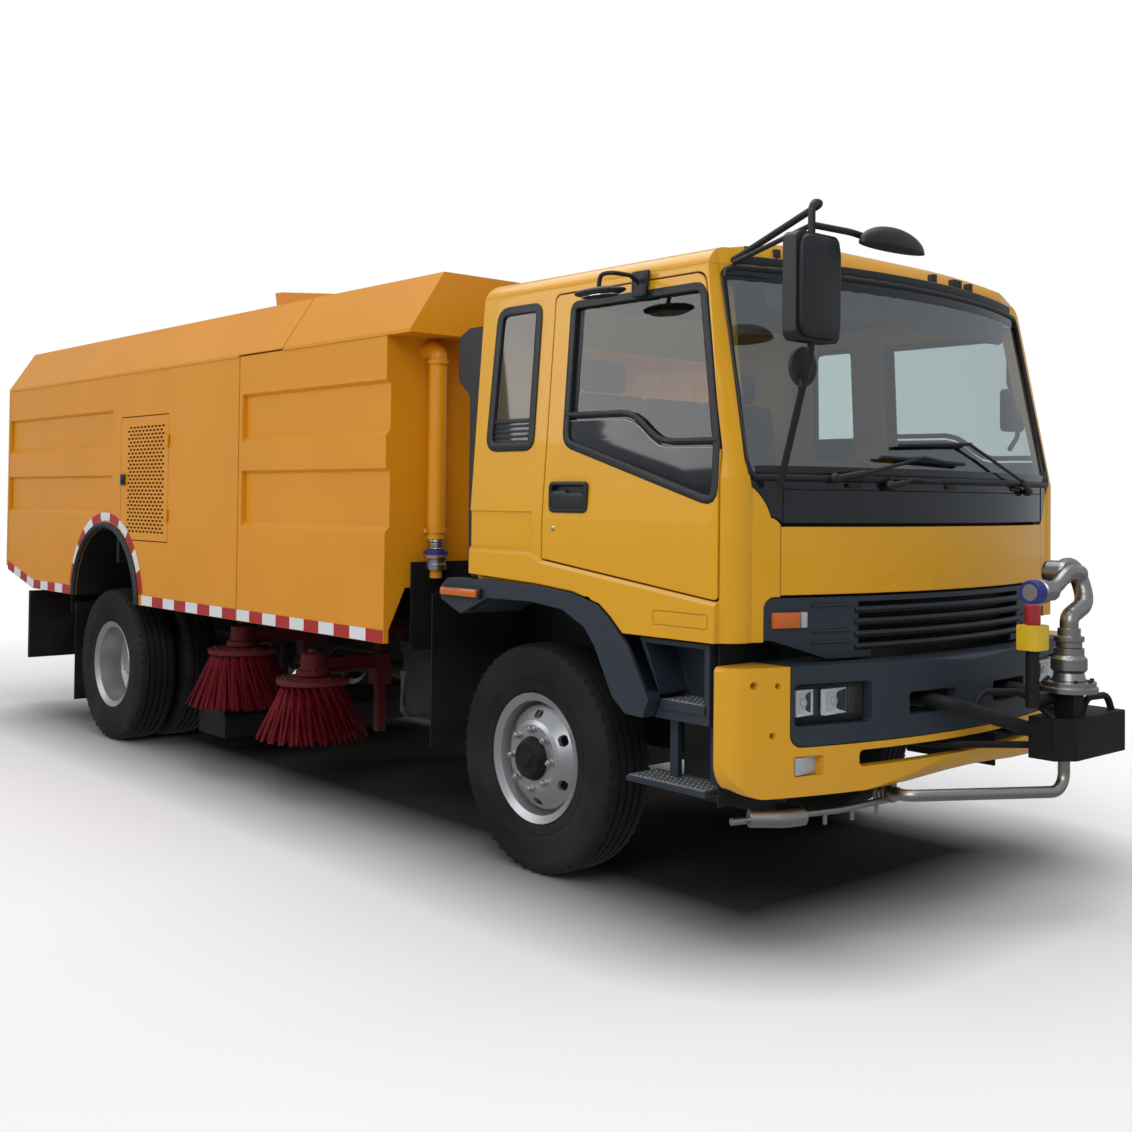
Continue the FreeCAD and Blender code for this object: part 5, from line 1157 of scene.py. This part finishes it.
# %% [markdown]
# The handle is a black moulding let into the door: a pocket, a rim round it and a paddle to
# pull, with the lock's barrel below.  The CAD door has the recess, and a black plate lines its
# floor.  The rim and the paddle stand up from there and end a little proud of the door.
# %% Door handles


def framed(near, far, low, high, radius):
    """A rounded rectangle on the door, from its rear and front edges and its two heights."""
    return corners([(aft(near), low), (aft(near), high), (aft(far), high), (aft(far), low)], radius)


def handle(side, word):
    """A pull handle over a dark pocket, with its lock below it."""
    pocket = plate([framed(-0.242, -0.461, 1.596, 1.708, 0.022)], 0.006, "X", side * 1.1705, 0.002)
    rim = plate([framed(-0.236, -0.467, 1.590, 1.714, 0.026),
                 framed(-0.246, -0.457, 1.600, 1.704, 0.020)], 0.026, "X", side * 1.182, 0.003)
    paddle = plate([corners([(aft(-0.262), 1.606), (aft(-0.246), 1.672), (aft(-0.330), 1.676),
                             (aft(-0.345), 1.664), (aft(-0.450), 1.664), (aft(-0.450), 1.606)],
                            0.014)], 0.022, "X", side * 1.184, 0.006)
    for name, thing in (("pocket", pocket), ("rim", rim), ("paddle", paddle)):
        finished(thing, "handle_%s_%s" % (name, word), plain("black_plastic"), "door_" + word)
    lock = drum((side * 1.190, aft(-0.262), 1.520), 0.011, 0.008, "X", 24, 0.001)
    finished(lock, "door_lock_" + word, plain("chrome_rod"), "door_" + word)


for side, word in SIDES:
    handle(side, word)
tell("door handles")

# %% [markdown]
# Behind each door is a narrow upright window in a rubber of its own, with a small louvre for
# the cab's stale air at its foot.  One slat is modelled and an array stacks the rest.
# %% Quarter windows


def quarter_trims(side, word):
    surround = lean(plate([grown(QUARTER, 0.012), grown(QUARTER, -0.020)], 0.022, "X",
                          side * 1.186, 0.004), side)
    finished(surround, "quarter_rubber_" + word, plain("black_plastic"), "chassis")
    bar_x, back_x, slat_x = (side * out for out in (1.180, 1.168, 1.178))
    bar = cuboid((bar_x - 0.010, aft(-0.080), 1.976), (bar_x + 0.010, aft(0.205), 1.996), 0.003)
    backing = cuboid((back_x - 0.003, aft(-0.080), 1.875), (back_x + 0.003, aft(0.205), 1.985))
    slat = cuboid((slat_x - 0.009, aft(-0.072), 1.888), (slat_x + 0.009, aft(0.197), 1.902), 0.003)
    slats = row_of(slat, (0, 0, 0.0225), 4)
    louvre = join([lean(thing, side) for thing in (bar, backing, slats)])
    finished(louvre, "quarter_louvre_" + word, plain("black_plastic"), "chassis")


for side, word in SIDES:
    quarter_trims(side, word)
tell("quarter windows")

# %% [markdown]
# A small bulging mirror hangs over the kerb-side door and shows the driver the ground beside
# it.  Its dish is a ball pressed flat, and its bent bracket is a tube from a foot on the door's
# frame, so it swings with the door.
# %% Blind-spot mirror
DISH_X = -1.300
DISH_SQUEEZE = 0.42


def blind_spot_mirror():
    bracket = tube([(-1.135, aft(-0.715), 2.505), (-1.20, aft(-0.72), 2.532), (-1.295, aft(-0.72), 2.532),
                    (DISH_X, aft(-0.655), 2.532), (DISH_X, aft(-0.648), 2.478)], 0.009, 0.03)
    outline = [(aft(-0.680), 2.455), (aft(-0.680), 2.553), (aft(-0.772), 2.553), (aft(-0.752), 2.455)]
    foot = plate([corners(outline, 0.008)], 0.014, "X", -1.143, 0.003)
    dish = ball((DISH_X, aft(-0.655), 2.462), 0.138, (DISH_SQUEEZE, 1.0, 0.13))
    whole = join([bracket, foot, dish])
    finished(whole, "blind_spot_mirror", plain("black_plastic"), "door_right")
    glass = drum((DISH_X, aft(-0.655), 2.4455), 0.10, 0.003, "Z", 40)
    glass.scale = (DISH_SQUEEZE, 1.0, 1)
    glass.location = (DISH_X * (1 - DISH_SQUEEZE), 0, 0)
    finished(settle(glass), "blind_spot_glass", MIRROR, "door_right")


blind_spot_mirror()
tell("blind-spot mirror")

# %% [markdown]
# The windshield is bonded behind a rubber bead, with a broad dark band along its foot and its
# head.  Both bend in plan with the nose and lean with the glass, so their routes are read from
# nose_y() and not drawn by eye.  A bead is a curve with a round section, a band is an upright
# ribbon along a level route.
# %% Windshield rubber
NOSE_STEPS = 20


def bowed(half, z, out, nose=NOSE, start=None):
    """A level route across the nose."""
    first = -half if start is None else start
    spots = [first + (half - first) * index / NOSE_STEPS for index in range(NOSE_STEPS + 1)]
    return [(x, nose_y(x, z, out, nose), z) for x in spots]


def screen_rubber():
    """A rubber bead all round the windshield's edge, and a broader dark band at its foot."""
    edge = [(1.070, BELT + 0.020), (1.080, 1.800), (1.056, 2.500), (1.042, 2.528), (1.012, 2.540)]
    right = [(-x, nose_y(x, z, 0.004), z) for x, z in edge]
    top = bowed(0.98, 2.542, 0.004)
    left = [(x, nose_y(x, z, 0.004), z) for x, z in reversed(edge)]
    foot = list(reversed(bowed(1.05, BELT + 0.004, 0.004)))
    bead = path([right + top + left + foot], True, bevel_depth=0.013, bevel_resolution=2)
    finished(bead, "screen_rubber", plain("black_plastic"), "chassis")
    for name, level, tall in (("low", BELT + 0.028, 0.042), ("high", 2.512, 0.05)):
        strip = ribbon(bowed(1.045, level, -0.0006), tall, 0.004)
        finished(strip, "screen_band_" + name, plain("black_panel"), "chassis")


screen_rubber()
tell("windshield rubber")

# %% [markdown]
# A wiper is a knob, a stiff foot, a thinner arm and a blade: a rail with a rubber below it, held
# by a yoke.  All three lie a few millimetres off the curved glass.  So each point is given only
# across and up, and on_glass() finds how far forward the glass is there.
# %% Wipers


def on_glass(x, z, out):
    return (x, nose_y(x, z, out), z)


def wiper(name, pivot, elbow, tip, blade_from, blade_to):
    """An arm from its knob to the middle of a blade, standing just off the glass."""
    knob = ball(on_glass(*pivot, 0.022), 0.026, (1, 0.8, 0.8))
    foot = tube([on_glass(*pivot, 0.03), on_glass(*elbow, 0.045)], 0.013, 0.02)
    arm = tube([on_glass(*elbow, 0.045), on_glass(*tip, 0.035)], 0.007, 0.02)
    spots = [Vector(blade_from).lerp(Vector(blade_to), index / 8) for index in range(9)]
    rail = tube([on_glass(spot.x, spot.y, 0.026) for spot in spots], 0.0075, 0.01)
    rubber = tube([on_glass(spot.x, spot.y - 0.004, 0.012) for spot in spots], 0.0045, 0.01)
    ends = [on_glass(spots[index].x, spots[index].y, 0.026) for index in (2, 6)]
    yoke = tube([ends[0], on_glass(*tip, 0.040), ends[1]], 0.006, 0.03)
    whole = join([knob, foot, arm, rail, rubber, yoke])
    finished(whole, name, plain("black_plastic"), "chassis")


wiper("wiper_right", (-0.728, 1.735), (-0.60, 1.757), (-0.245, 1.826), (-0.480, 1.822), (0.035, 1.806))
wiper("wiper_left", (0.640, 1.700), (0.52, 1.742), (0.090, 1.893), (-0.365, 1.872), (0.120, 1.893))
wiper("wiper_middle", (-0.450, 1.712), (-0.40, 1.722), (-0.330, 1.738), (-0.46, 1.738), (-0.16, 1.728))
tell("wipers")

# %% [markdown]
# The black panel under the glass is in three pieces, and its top edge is a separate lid.  The
# gaps are thinner than a match, too fine to cut into a solid that collides, so they are dark
# beads half sunk in the surface.  Three washer jets sit on the lid.
# %% Cowl lines and jets


def nose_seams():
    """Fine dark lines where the black panel's corner pieces and its lid meet."""
    for side, word in SIDES:
        spots = [(side * 0.936, z) for z in (1.560, 1.62, 1.70, BELT)]
        route = [(x, nose_y(x, z, 0.0006), z) for x, z in spots]
        finished(tube(route, 0.0022, 0.01), "cowl_seam_" + word, plain("frame_black"), "chassis")
    for name, level, half in (("low", 1.690, 0.93), ("high", 1.722, 1.05)):
        seam = path([bowed(half, level, 0.0008)], bevel_depth=0.0025, bevel_resolution=1)
        finished(seam, "cowl_line_" + name, plain("frame_black"), "chassis")
    for name, x in (("right", -0.62), ("middle", -0.05), ("left", 0.52)):
        jet = cuboid((x - 0.035, nose_y(x, 1.66, 0.012), 1.700),
                     (x + 0.035, nose_y(x, 1.66, -0.004), 1.716), 0.004)
        finished(jet, "washer_jet_" + name, plain("black_plastic"), "chassis")


nose_seams()
tell("cowl lines")

# %% [markdown]
# Over the glass a dark strip ends the roof's edge, with small dark clips above it.  A ribbon
# along the nose's bow gives the strip its bend; the clips are small blocks, placed by the bow.
# %% Brow strip


def brow_strip():
    """The dark strip over the windshield, with its little clips."""
    strip = ribbon(bowed(0.985, 2.574, 0.0015), 0.036, 0.006)
    finished(strip, "brow_strip", plain("black_plastic"), "chassis")
    clips = []
    for x in (-0.93, -0.80, 0.12, 0.30, 0.34, 0.45):
        y = nose_y(x, 2.60, -0.012)
        clips.append(cuboid((x - 0.016, y - 0.012, 2.590), (x + 0.016, y + 0.020, 2.632), 0.005))
    finished(join(clips), "brow_clips", plain("black_plastic"), "chassis")


brow_strip()
tell("brow strip")

# %% [markdown]
# The turn lamps are let into the grille's ends, an amber lens and a narrow clear one beside it.
# The nose falls back there, so a straight block would stand out at one end.  Each lens is
# turned about its own middle by the slope of the nose between its two edges.
# %% Turn lamps
LAMP_LOW = 1.168
LAMP_HIGH = 1.228


def turn_lens(name, side, word, inner, outer, material):
    """One lens between two distances out, turned to the nose's slope."""
    middle = (inner + outer) / 2
    low = (side * inner, nose_y(middle, LAMP_HIGH, 0.010), LAMP_LOW)
    high = (side * outer, nose_y(middle, LAMP_HIGH, -0.020), LAMP_HIGH)
    lens = cuboid(low, high, 0.004)
    slope = math.atan2(nose_y(outer) - nose_y(inner), outer - inner)
    to_middle = Matrix.Translation((side * middle, nose_y(middle), 0))
    lens.matrix_world = to_middle @ Matrix.Rotation(side * slope, 4, "Z") @ to_middle.inverted()
    finished(lens, "turn_%s_%s" % (name, word), material, "chassis")


for side, word in reversed(SIDES):
    turn_lens("amber", side, word, 0.862, 0.982, AMBER)
    turn_lens("clear", side, word, 0.832, 0.860, CLEAR_LENS)
tell("turn lamps")

# %% [markdown]
# The grille's mouth is a row of level fins with the dark radiator behind them, and three fine
# ribs run out over each corner.  All follow the nose's bow, so all are ribbons, at different
# depths behind the face.
# %% Grille fins


def grille_fins():
    """Level fins in the grille's mouth, and ribs on its outer corners."""
    for index, level in enumerate((1.086, 1.134, 1.182, 1.228)):
        fin = ribbon(bowed(0.60, level, -0.010), 0.010, 0.030)
        finished(fin, "grille_fin_%d" % index, plain("black_plastic"), "chassis")
    back = ribbon(bowed(0.62, 1.165, -0.060), 0.20, 0.004)
    finished(back, "grille_back", plain("frame_black"), "chassis")
    for side, word in reversed(SIDES):
        for index, level in enumerate((1.110, 1.152, 1.250)):
            first, last = sorted((side * 0.63, side * 0.81))
            spots = [first + (last - first) * step / 6 for step in range(7)]
            rib = ribbon([(x, nose_y(x, level, 0.001), level) for x in spots], 0.008, 0.010)
            finished(rib, "grille_rib_%s_%d" % (word, index), plain("trim_blue_grey"), "chassis")


grille_fins()
tell("grille fins")

# %% [markdown]
# Each headlamp is a pair of square bowls behind one pane.  A flat bright block would look like
# paper, because what makes a lamp is the way its bowl falls back in steps.  So the front face of
# a block is inset three times and pushed back twice.  A dark housing, a bulb cap, the fog lamp
# and the bumper's bolts complete it.
# %% Headlamps and fog lamps
BUMPER_NOSE = -1.527


def bumper_y(x, out=0.0):
    """The row's Y of the bumper's face, which has the same bow as the nose."""
    return nose_y(x, 0.0, out, BUMPER_NOSE)


def reflector(low, high):
    """A square bowl: a block whose front face is inset, pushed back and narrowed."""
    bowl = cuboid(low, high)
    pick(bowl)
    bpy.ops.object.mode_set(mode="EDIT")
    bpy.ops.mesh.select_all(action="DESELECT")
    bpy.ops.object.mode_set(mode="OBJECT")
    for face in bowl.data.polygons:
        face.select = face.normal.y < -0.9
    bpy.ops.object.mode_set(mode="EDIT")
    bpy.ops.mesh.select_mode(type="FACE")
    bpy.ops.mesh.inset(thickness=0.004)
    bpy.ops.mesh.inset(thickness=0.009, depth=-0.008)
    bpy.ops.mesh.inset(thickness=0.007, depth=-0.003)
    bpy.ops.mesh.select_mode(type="VERT")
    bpy.ops.object.mode_set(mode="OBJECT")
    return bowl


def bumper_lamps():
    """A housing, two bowls and their bulb caps behind each pane; the fog lamp and the bolts."""
    for side, word in reversed(SIDES):
        first, last = sorted((side * 0.620, side * 0.954))
        spots = [first + (last - first) * index / 10 for index in range(11)]
        housing = ribbon([(x, bumper_y(x, -0.0375), 0.890) for x in spots], 0.146, 0.003)
        finished(housing, "lamp_housing_" + word, plain("black_plastic"), "chassis")
        bowls = []
        caps = []
        for inner, outer in ((0.700, 0.834), (0.853, 0.947)):
            middle = side * (inner + outer) / 2
            near, far = sorted((side * inner, side * outer))
            front = bumper_y(middle, -0.020)
            bowls.append(reflector((near, front, 0.848), (far, front + 0.018, 0.944)))
            caps.append(drum((middle, front + 0.006, 0.896), 0.016, 0.010, "Y", 24, 0.003))
        finished(join(bowls), "lamp_bowls_" + word, BOWL, "chassis")
        finished(join(caps), "lamp_caps_" + word, CLEAR_LENS, "chassis")
        fog = cuboid((side * 0.841, bumper_y(0.899, -0.028), 0.633),
                     (side * 0.957, bumper_y(0.899, -0.012), 0.699), 0.004)
        finished(fog, "fog_lamp_" + word, CLEAR_LENS, "chassis")
        bolts = [drum((side * x, bumper_y(x, -0.040), z), radius, 0.012, "Y", 6, 0.002)
                 for x, z, radius in ((1.120, 0.971, 0.009), (1.028, 0.966, 0.008), (1.048, 0.785, 0.008))]
        finished(join(bolts), "bumper_bolts_" + word, plain("cast_metal"), "chassis")


bumper_lamps()
tell("headlamps")

# %% [markdown]
# Both cab steps carry a bright plate with raised studs, so that a wet boot holds.  A bump in the
# material would look flat from the side, so one stud is modelled and arrays fill the plate in
# both directions.
# %% Step treads
STUD_PITCH = 0.024


def step_treads():
    upper = cuboid((-1.148, aft(-1.096), 0.872), (-0.985, aft(-0.872), 0.876), 0.001)
    lower = cuboid((-1.160, aft(-1.105), 0.556), (-0.992, aft(-0.700), 0.5605), 0.001)
    studs = []
    for low_y, high_y, z, first_x in ((-1.09, -0.88, 0.8765, -1.14), (-1.10, -0.71, 0.561, -1.15)):
        stud = cuboid((first_x, aft(low_y), z - 0.001),
                      (first_x + 0.022, aft(low_y) + 0.008, z + 0.003), 0.001)
        rows = int((high_y - low_y) / STUD_PITCH)
        studs.append(row_of(row_of(stud, (0.036, 0, 0), 4), (0, STUD_PITCH, 0), rows))
    pair(join([upper, lower] + studs), "step_treads", TREAD_PLATE, "chassis")


step_treads()
tell("step treads")

# %% [markdown]
# A long amber marker lamp lies on each fender's tail, a lens on a dark base.  Two blocks are
# enough, with their edges rounded.
# %% Fender lamps


def fender_lamps():
    base = cuboid((-1.232, aft(0.190), 1.196), (-1.208, aft(0.476), 1.242), 0.006)
    lens = cuboid((-1.246, aft(0.200), 1.202), (-1.230, aft(0.466), 1.237), 0.006)
    pair(base, "fender_lamp_base", plain("black_plastic"), "chassis")
    pair(lens, "fender_lamp", AMBER, "chassis")


fender_lamps()
tell("fender lamps")

# %% [markdown]
# The CAD mirror heads get their glass and a bulging back.  The kerb-side arm also carries a
# second thin bar above and a small round mirror below.  Mirror glass is a metal with almost no
# roughness, on a plate set just proud of the head, because two faces in one plane would flicker.
# %% Mirrors


def mirror_heads():
    outline = corners([(-1.312, 2.200), (-1.088, 2.200), (-1.088, 2.558), (-1.312, 2.558)], 0.030)
    finished(plate([outline], 0.004, "Y", aft(-1.5905), 0.001), "mirror_glass_right", MIRROR, "chassis")
    outline = corners([(-1.295, 2.215), (-1.105, 2.215), (-1.105, 2.543), (-1.295, 2.543)], 0.045)
    back = plate([outline], 0.030, "Y", aft(-1.655), 0.014)
    finished(back, "mirror_back_right", plain("black_plastic"), "chassis")
    arm = tube([(-1.045, aft(-1.13), 2.55), (-1.20, aft(-1.62), 2.60)], 0.0095)
    finished(arm, "mirror_arm_upper", plain("black_plastic"), "chassis")
    round_head = drum((-1.150, aft(-1.545), 2.118), 0.072, 0.020, "Y", 40, 0.008)
    stub = tube([(-1.180, aft(-1.560), 2.040), (-1.160, aft(-1.550), 2.090)], 0.010, 0.01)
    finished(join([round_head, stub]), "round_mirror", plain("cast_metal"), "chassis")
    outline = corners([(1.230, 2.020), (1.350, 2.020), (1.350, 2.215), (1.230, 2.215)], 0.026)
    finished(plate([outline], 0.004, "Y", aft(-0.9035), 0.001), "mirror_glass_left", MIRROR, "door_left")


mirror_heads()
tell("mirrors")

# %% [markdown]
# The perforated hatch gets a latch, and behind its slots a dark sheet as painted shade, so that one
# sees a dark inside and not an empty hopper.  Both ride the hatch and swing with it.
# %% Hatch


def hatch_fittings():
    # A dark sheet just behind the slots: painted shade for the hopper's dark inside.
    backing = cuboid((-1.2125, aft(3.36), 1.362), (-1.2105, aft(4.04), 2.133))
    finished(backing, "hatch_backing", plain("frame_black"), "grille_door")
    latch = [cuboid((-1.256, aft(3.965), 1.705), (-1.246, aft(4.035), 1.775), 0.003),
             cuboid((-1.264, aft(3.985), 1.715), (-1.254, aft(4.005), 1.765), 0.004)]
    finished(join(latch), "hatch_latch", plain("black_plastic"), "grille_door")


hatch_fittings()
tell("hatch")

# %% [markdown]
# The body's water pipe ends in a quick coupling: a steel sleeve under two clamps, a grooved
# collar with a lever at each side, and a blue seal between.  The collar and the seal are lathe
# work, so their half sections are spun; the levers and ears are blocks.
# %% Pipe coupling
PIPE_Y = aft(0.838)


def beside_pipe(half, gap, deep, low, high):
    """A block on each side of the pipe: its half width, its distance out and its half depth."""
    return [cuboid((-1.0 - half + side * gap, PIPE_Y - deep, low),
                   (-1.0 + half + side * gap, PIPE_Y + deep, high), 0.003) for side in (-1, 1)]


def pipe_coupling():
    sleeve = drum((-1.0, PIPE_Y, 1.412), 0.040, 0.056, "Z", 32, 0.002)
    clamps = [hoop((-1.0, PIPE_Y, z), 0.0405, 0.004, "Z") for z in (1.394, 1.428)]
    finished(join([sleeve] + clamps), "pipe_hose", plain("steel_pipe"), "chassis")
    collar = turned([(1.292, 0.0), (1.292, 0.0535), (1.318, 0.0535), (1.322, 0.049), (1.340, 0.049),
                     (1.344, 0.0545), (1.362, 0.0545), (1.362, 0.0)], (-1.0, PIPE_Y, 0), "Z", 40)
    finished(collar, "pipe_collar", plain("steel_pipe"), "chassis")
    gasket = turned([(1.364, 0.0), (1.364, 0.062), (1.384, 0.062), (1.384, 0.0)],
                    (-1.0, PIPE_Y, 0), "Z", 40)
    finished(gasket, "pipe_gasket", RING_BLUE, "chassis")
    levers = join(beside_pipe(0.004, 0.052, 0.008, 1.306, 1.372))
    finished(levers, "coupling_levers", plain("steel_pipe"), "chassis")
    ears = join(beside_pipe(0.012, 0.058, 0.010, 1.470, 1.492))
    finished(ears, "pipe_clamp_ears", plain("body_orange"), "chassis")


pipe_coupling()
tell("pipe coupling")

# %% [markdown]
# The tail has what every lorry has there: a red, an amber and a clear lamp at each corner, as
# round lenses that are short drums.  Two latches, plain rounded blocks, hold the rear door's foot.
# %% Rear lamps and latches


def rear_fittings():
    """Lamps on the rear plates, and latches along the rear door's foot."""
    for side, word in reversed(SIDES):
        for name, z, material in (("stop", 0.80, RED_LENS), ("turn", 0.70, AMBER),
                                  ("back", 0.60, CLEAR_LENS)):
            lens = drum((side * 1.02, aft(5.828), z), 0.042, 0.022, "Y", 36, 0.005)
            finished(lens, "rear_%s_%s" % (name, word), material, "chassis")
        latch = cuboid((side * 1.10 - 0.03, aft(6.205), 1.13),
                       (side * 1.10 + 0.03, aft(6.226), 1.33), 0.006)
        finished(latch, "rear_latch_" + word, plain("cast_metal"), "rear_door")


rear_fittings()
tell("rear fittings")

# %% [markdown]
# The front washer's upright pipe stands on a bolted flange and a valve with a yellow drive case
# and a red cap; its nozzle ends in a blue ring.  The flange, the valve and the ring are spun from
# half sections.  The ring's section is hollow in the middle, so that the nozzle stays open.
# %% Front washer
WASHER_X = 0.185
WASHER_Y = aft(-1.83)


def washer_fittings():
    upright = (WASHER_X, WASHER_Y, 0)
    bolts = ring_of(drum((WASHER_X + 0.090, WASHER_Y, 0.926), 0.009, 0.052, "Z", 6, 0.001), upright, "Z", 8)
    finished(bolts, "flange_bolts", plain("cast_metal"), "chassis")
    flange = turned([(0.899, 0.0), (0.899, 0.1115), (0.919, 0.1115), (0.923, 0.104), (0.941, 0.104),
                     (0.945, 0.064), (0.947, 0.0)], upright, "Z", 48)
    finished(flange, "flange_steel", plain("steel_pipe"), "chassis")
    valve = turned([(0.944, 0.0), (0.944, 0.065), (0.975, 0.058), (0.988, 0.070), (1.030, 0.070),
                    (1.044, 0.058), (1.072, 0.058), (1.074, 0.0)], upright, "Z", 48)
    finished(valve, "valve_steel", plain("steel_pipe"), "chassis")
    drive = cuboid((-0.078, WASHER_Y - 0.006, 1.073), (0.023, WASHER_Y + 0.082, 1.173), 0.006)
    finished(drive, "drive_case", VALVE_YELLOW, "chassis")
    cap = drum((-0.028, WASHER_Y + 0.038, 1.212), 0.030, 0.078, "Z", 24, 0.004)
    finished(cap, "drive_cap", VALVE_RED, "chassis")
    tip = turned([(-0.222, 0.032), (-0.222, 0.042), (-0.212, 0.046), (-0.172, 0.046), (-0.166, 0.040),
                  (-0.166, 0.032), (-0.222, 0.032)], (0, aft(-1.888), 1.312), "X", 40)
    finished(tip, "nozzle_ring", RING_BLUE, "cannon_nozzle")


washer_fittings()
tell("front washer")

# %% [markdown]
# Two brass clips hold the hose that feeds the spray bar.  Each is a plain ring round it.
# %% Spray bar clips
clips = [hoop((-0.412, aft(y), 0.505), 0.036, 0.005, "Y") for y in (-1.360, -1.395)]
finished(join(clips), "feed_clips", BRASS, "chassis")
tell("spray bar")

# %% [markdown]
# On a real truck dark sheets close the view into the chassis: the inner wheelhouse, the wall
# behind the steps, the flap behind the front wheel and the gap over the grille.  Without them
# daylight shows through under the cab.  They are thin blocks, set clear of the steered wheel's
# sweep, made on the right and mirrored.
# %% Wheelhouse sheets


def wheelhouse():
    house = cuboid((-0.498, aft(-0.66), 0.52), (-0.490, aft(0.68), 1.40))
    wall = cuboid((-0.800, aft(-1.14), 0.42), (-0.790, aft(-0.66), 1.235))
    front_wall = cuboid((-1.130, aft(-1.150), 0.50), (-0.780, aft(-1.142), 1.235))
    flap = cuboid((-1.140, aft(0.665), 0.46), (-0.490, aft(0.673), 1.19))
    bulkhead = cuboid((-1.130, aft(0.860), 0.90), (-0.300, aft(0.866), 1.330))
    rear_fill = cuboid((-1.205, aft(4.960), 0.800), (-0.600, aft(4.966), 0.924))
    sheets = join([house, wall, front_wall, flap, bulkhead, rear_fill])
    pair(sheets, "wheelhouse", plain("frame_black"), "chassis")
    strip = ribbon(bowed(0.97, 1.288, -0.055), 0.075, 0.004)
    finished(strip, "lid_gap_strip", plain("frame_black"), "chassis")
    pipe = tube([(-1.155, aft(0.88), 0.80), (-1.155, aft(0.88), 0.590), (-0.86, aft(0.88), 0.565)], 0.015,
                0.05)
    pair(pipe, "flap_hanger", plain("cast_metal"), "chassis")


wheelhouse()
tell("wheelhouse")

# %% [markdown]
# Through the windshield one sees the roof's grey lining, two sun visors, the headrests and the
# dashboard's instruments.  They stay simple, since glass and shade hide their detail, but an
# empty cab would look like a toy.
# %% Cab interior


def interior():
    lining = cuboid((-1.03, aft(-1.02), 2.565), (1.03, aft(0.23), 2.580), 0.004)
    finished(lining, "roof_lining", LINING, "chassis")
    for side, word in reversed(SIDES):
        outline = [(side * 0.15, 2.40), (side * 0.85, 2.40), (side * 0.85, 2.54), (side * 0.15, 2.54)]
        visor = plate([corners(outline[::-side], 0.03)], 0.016, "Y", aft(-1.13), 0.006)
        finished(visor, "visor_" + word, LINING, "chassis")
        rest = cuboid((side * 0.48 - 0.13, aft(0.165), 2.16), (side * 0.48 + 0.13, aft(0.245), 2.31), 0.03)
        finished(rest, "headrest_" + word, plain("seat_fabric"), "chassis")
    outline = corners([(0.28, 1.675), (0.70, 1.675), (0.70, 1.745), (0.28, 1.745)], 0.02)
    panel = plate([outline], 0.006, "Y", aft(-0.868), 0.002)
    finished(panel, "instruments", plain("black_panel"), "chassis")
    shelf = cuboid((-0.65, aft(-1.18), 1.700), (0.20, aft(-1.00), 1.716), 0.006)
    finished(shelf, "dash_top", LINING, "chassis")


interior()
tell("cab interior")

# %% [markdown]
# The floor is pale, with a dark patch painted under the truck as the shade of its body, and it also
# takes the truck's cast shadow.  A floor edge or a horizon would show behind the truck, so further out
# it gives off the backdrop's white to the camera and the two meet unseen.  Rays through glass see it
# white too.  Gloss sees it dimmed, because a white floor in the paint's reflection would wash out the
# cab's lower half.
# %% Floor
# Half size of the box round the truck's footprint where the floor is painted dark as shade.
SHADE_PATCH_HALF = (0.75, 3.10, 0)


def add_floor():
    bpy.ops.mesh.primitive_plane_add(size=80, location=(0, 0, 0))
    floor = bpy.context.object
    floor.name = "floor"
    material = bpy.data.materials.new("floor")
    material.use_nodes = True
    tree = material.node_tree
    tree.nodes.clear()
    matt = new_node(tree, "ShaderNodeBsdfDiffuse")
    place = new_node(tree, "ShaderNodeTexCoord")
    aside = new_node(tree, "ShaderNodeVectorMath", operation="ABSOLUTE")
    tree.links.new(place.outputs["Object"], aside.inputs[0])
    beyond = new_node(tree, "ShaderNodeVectorMath", operation="SUBTRACT")
    beyond.inputs[1].default_value = SHADE_PATCH_HALF
    tree.links.new(aside.outputs[0], beyond.inputs[0])
    outside = new_node(tree, "ShaderNodeVectorMath", operation="MAXIMUM")
    tree.links.new(beyond.outputs[0], outside.inputs[0])
    gap = new_node(tree, "ShaderNodeVectorMath", operation="LENGTH")
    tree.links.new(outside.outputs[0], gap.inputs[0])
    # Inside the box the floor is painted near black, as painted shade under the body; it turns pale within a
    # metre outside it.
    pale = ramp(tree, gap.outputs["Value"], 0.0, 1.0)
    ground = blend_color(tree, pale, (0.045, 0.043, 0.041, 1), (0.86, 0.86, 0.86, 1))
    tree.links.new(ground, matt.inputs["Color"])
    white = new_node(tree, "ShaderNodeEmission")
    length = new_node(tree, "ShaderNodeVectorMath", operation="LENGTH")
    tree.links.new(place.outputs["Object"], length.inputs[0])
    far = ramp(tree, length.outputs["Value"], 4.5, 9.0)
    path = new_node(tree, "ShaderNodeLightPath")
    tree.links.new(ramp(tree, path.outputs["Is Glossy Ray"], 0.0, 1.0, 1.0, 0.22), white.inputs["Strength"])
    seen = calculate(tree, "ADD", path.outputs["Is Glossy Ray"], path.outputs["Is Transmission Ray"])
    amount = calculate(tree, "ADD", calculate(tree, "MULTIPLY", far, path.outputs["Is Camera Ray"]), seen)
    mix = new_node(tree, "ShaderNodeMixShader")
    out = new_node(tree, "ShaderNodeOutputMaterial")
    tree.links.new(amount, mix.inputs["Fac"])
    tree.links.new(matt.outputs[0], mix.inputs[1])
    tree.links.new(white.outputs[0], mix.inputs[2])
    tree.links.new(mix.outputs[0], out.inputs["Surface"])
    floor.data.materials.append(material)


add_floor()
tell("floor")
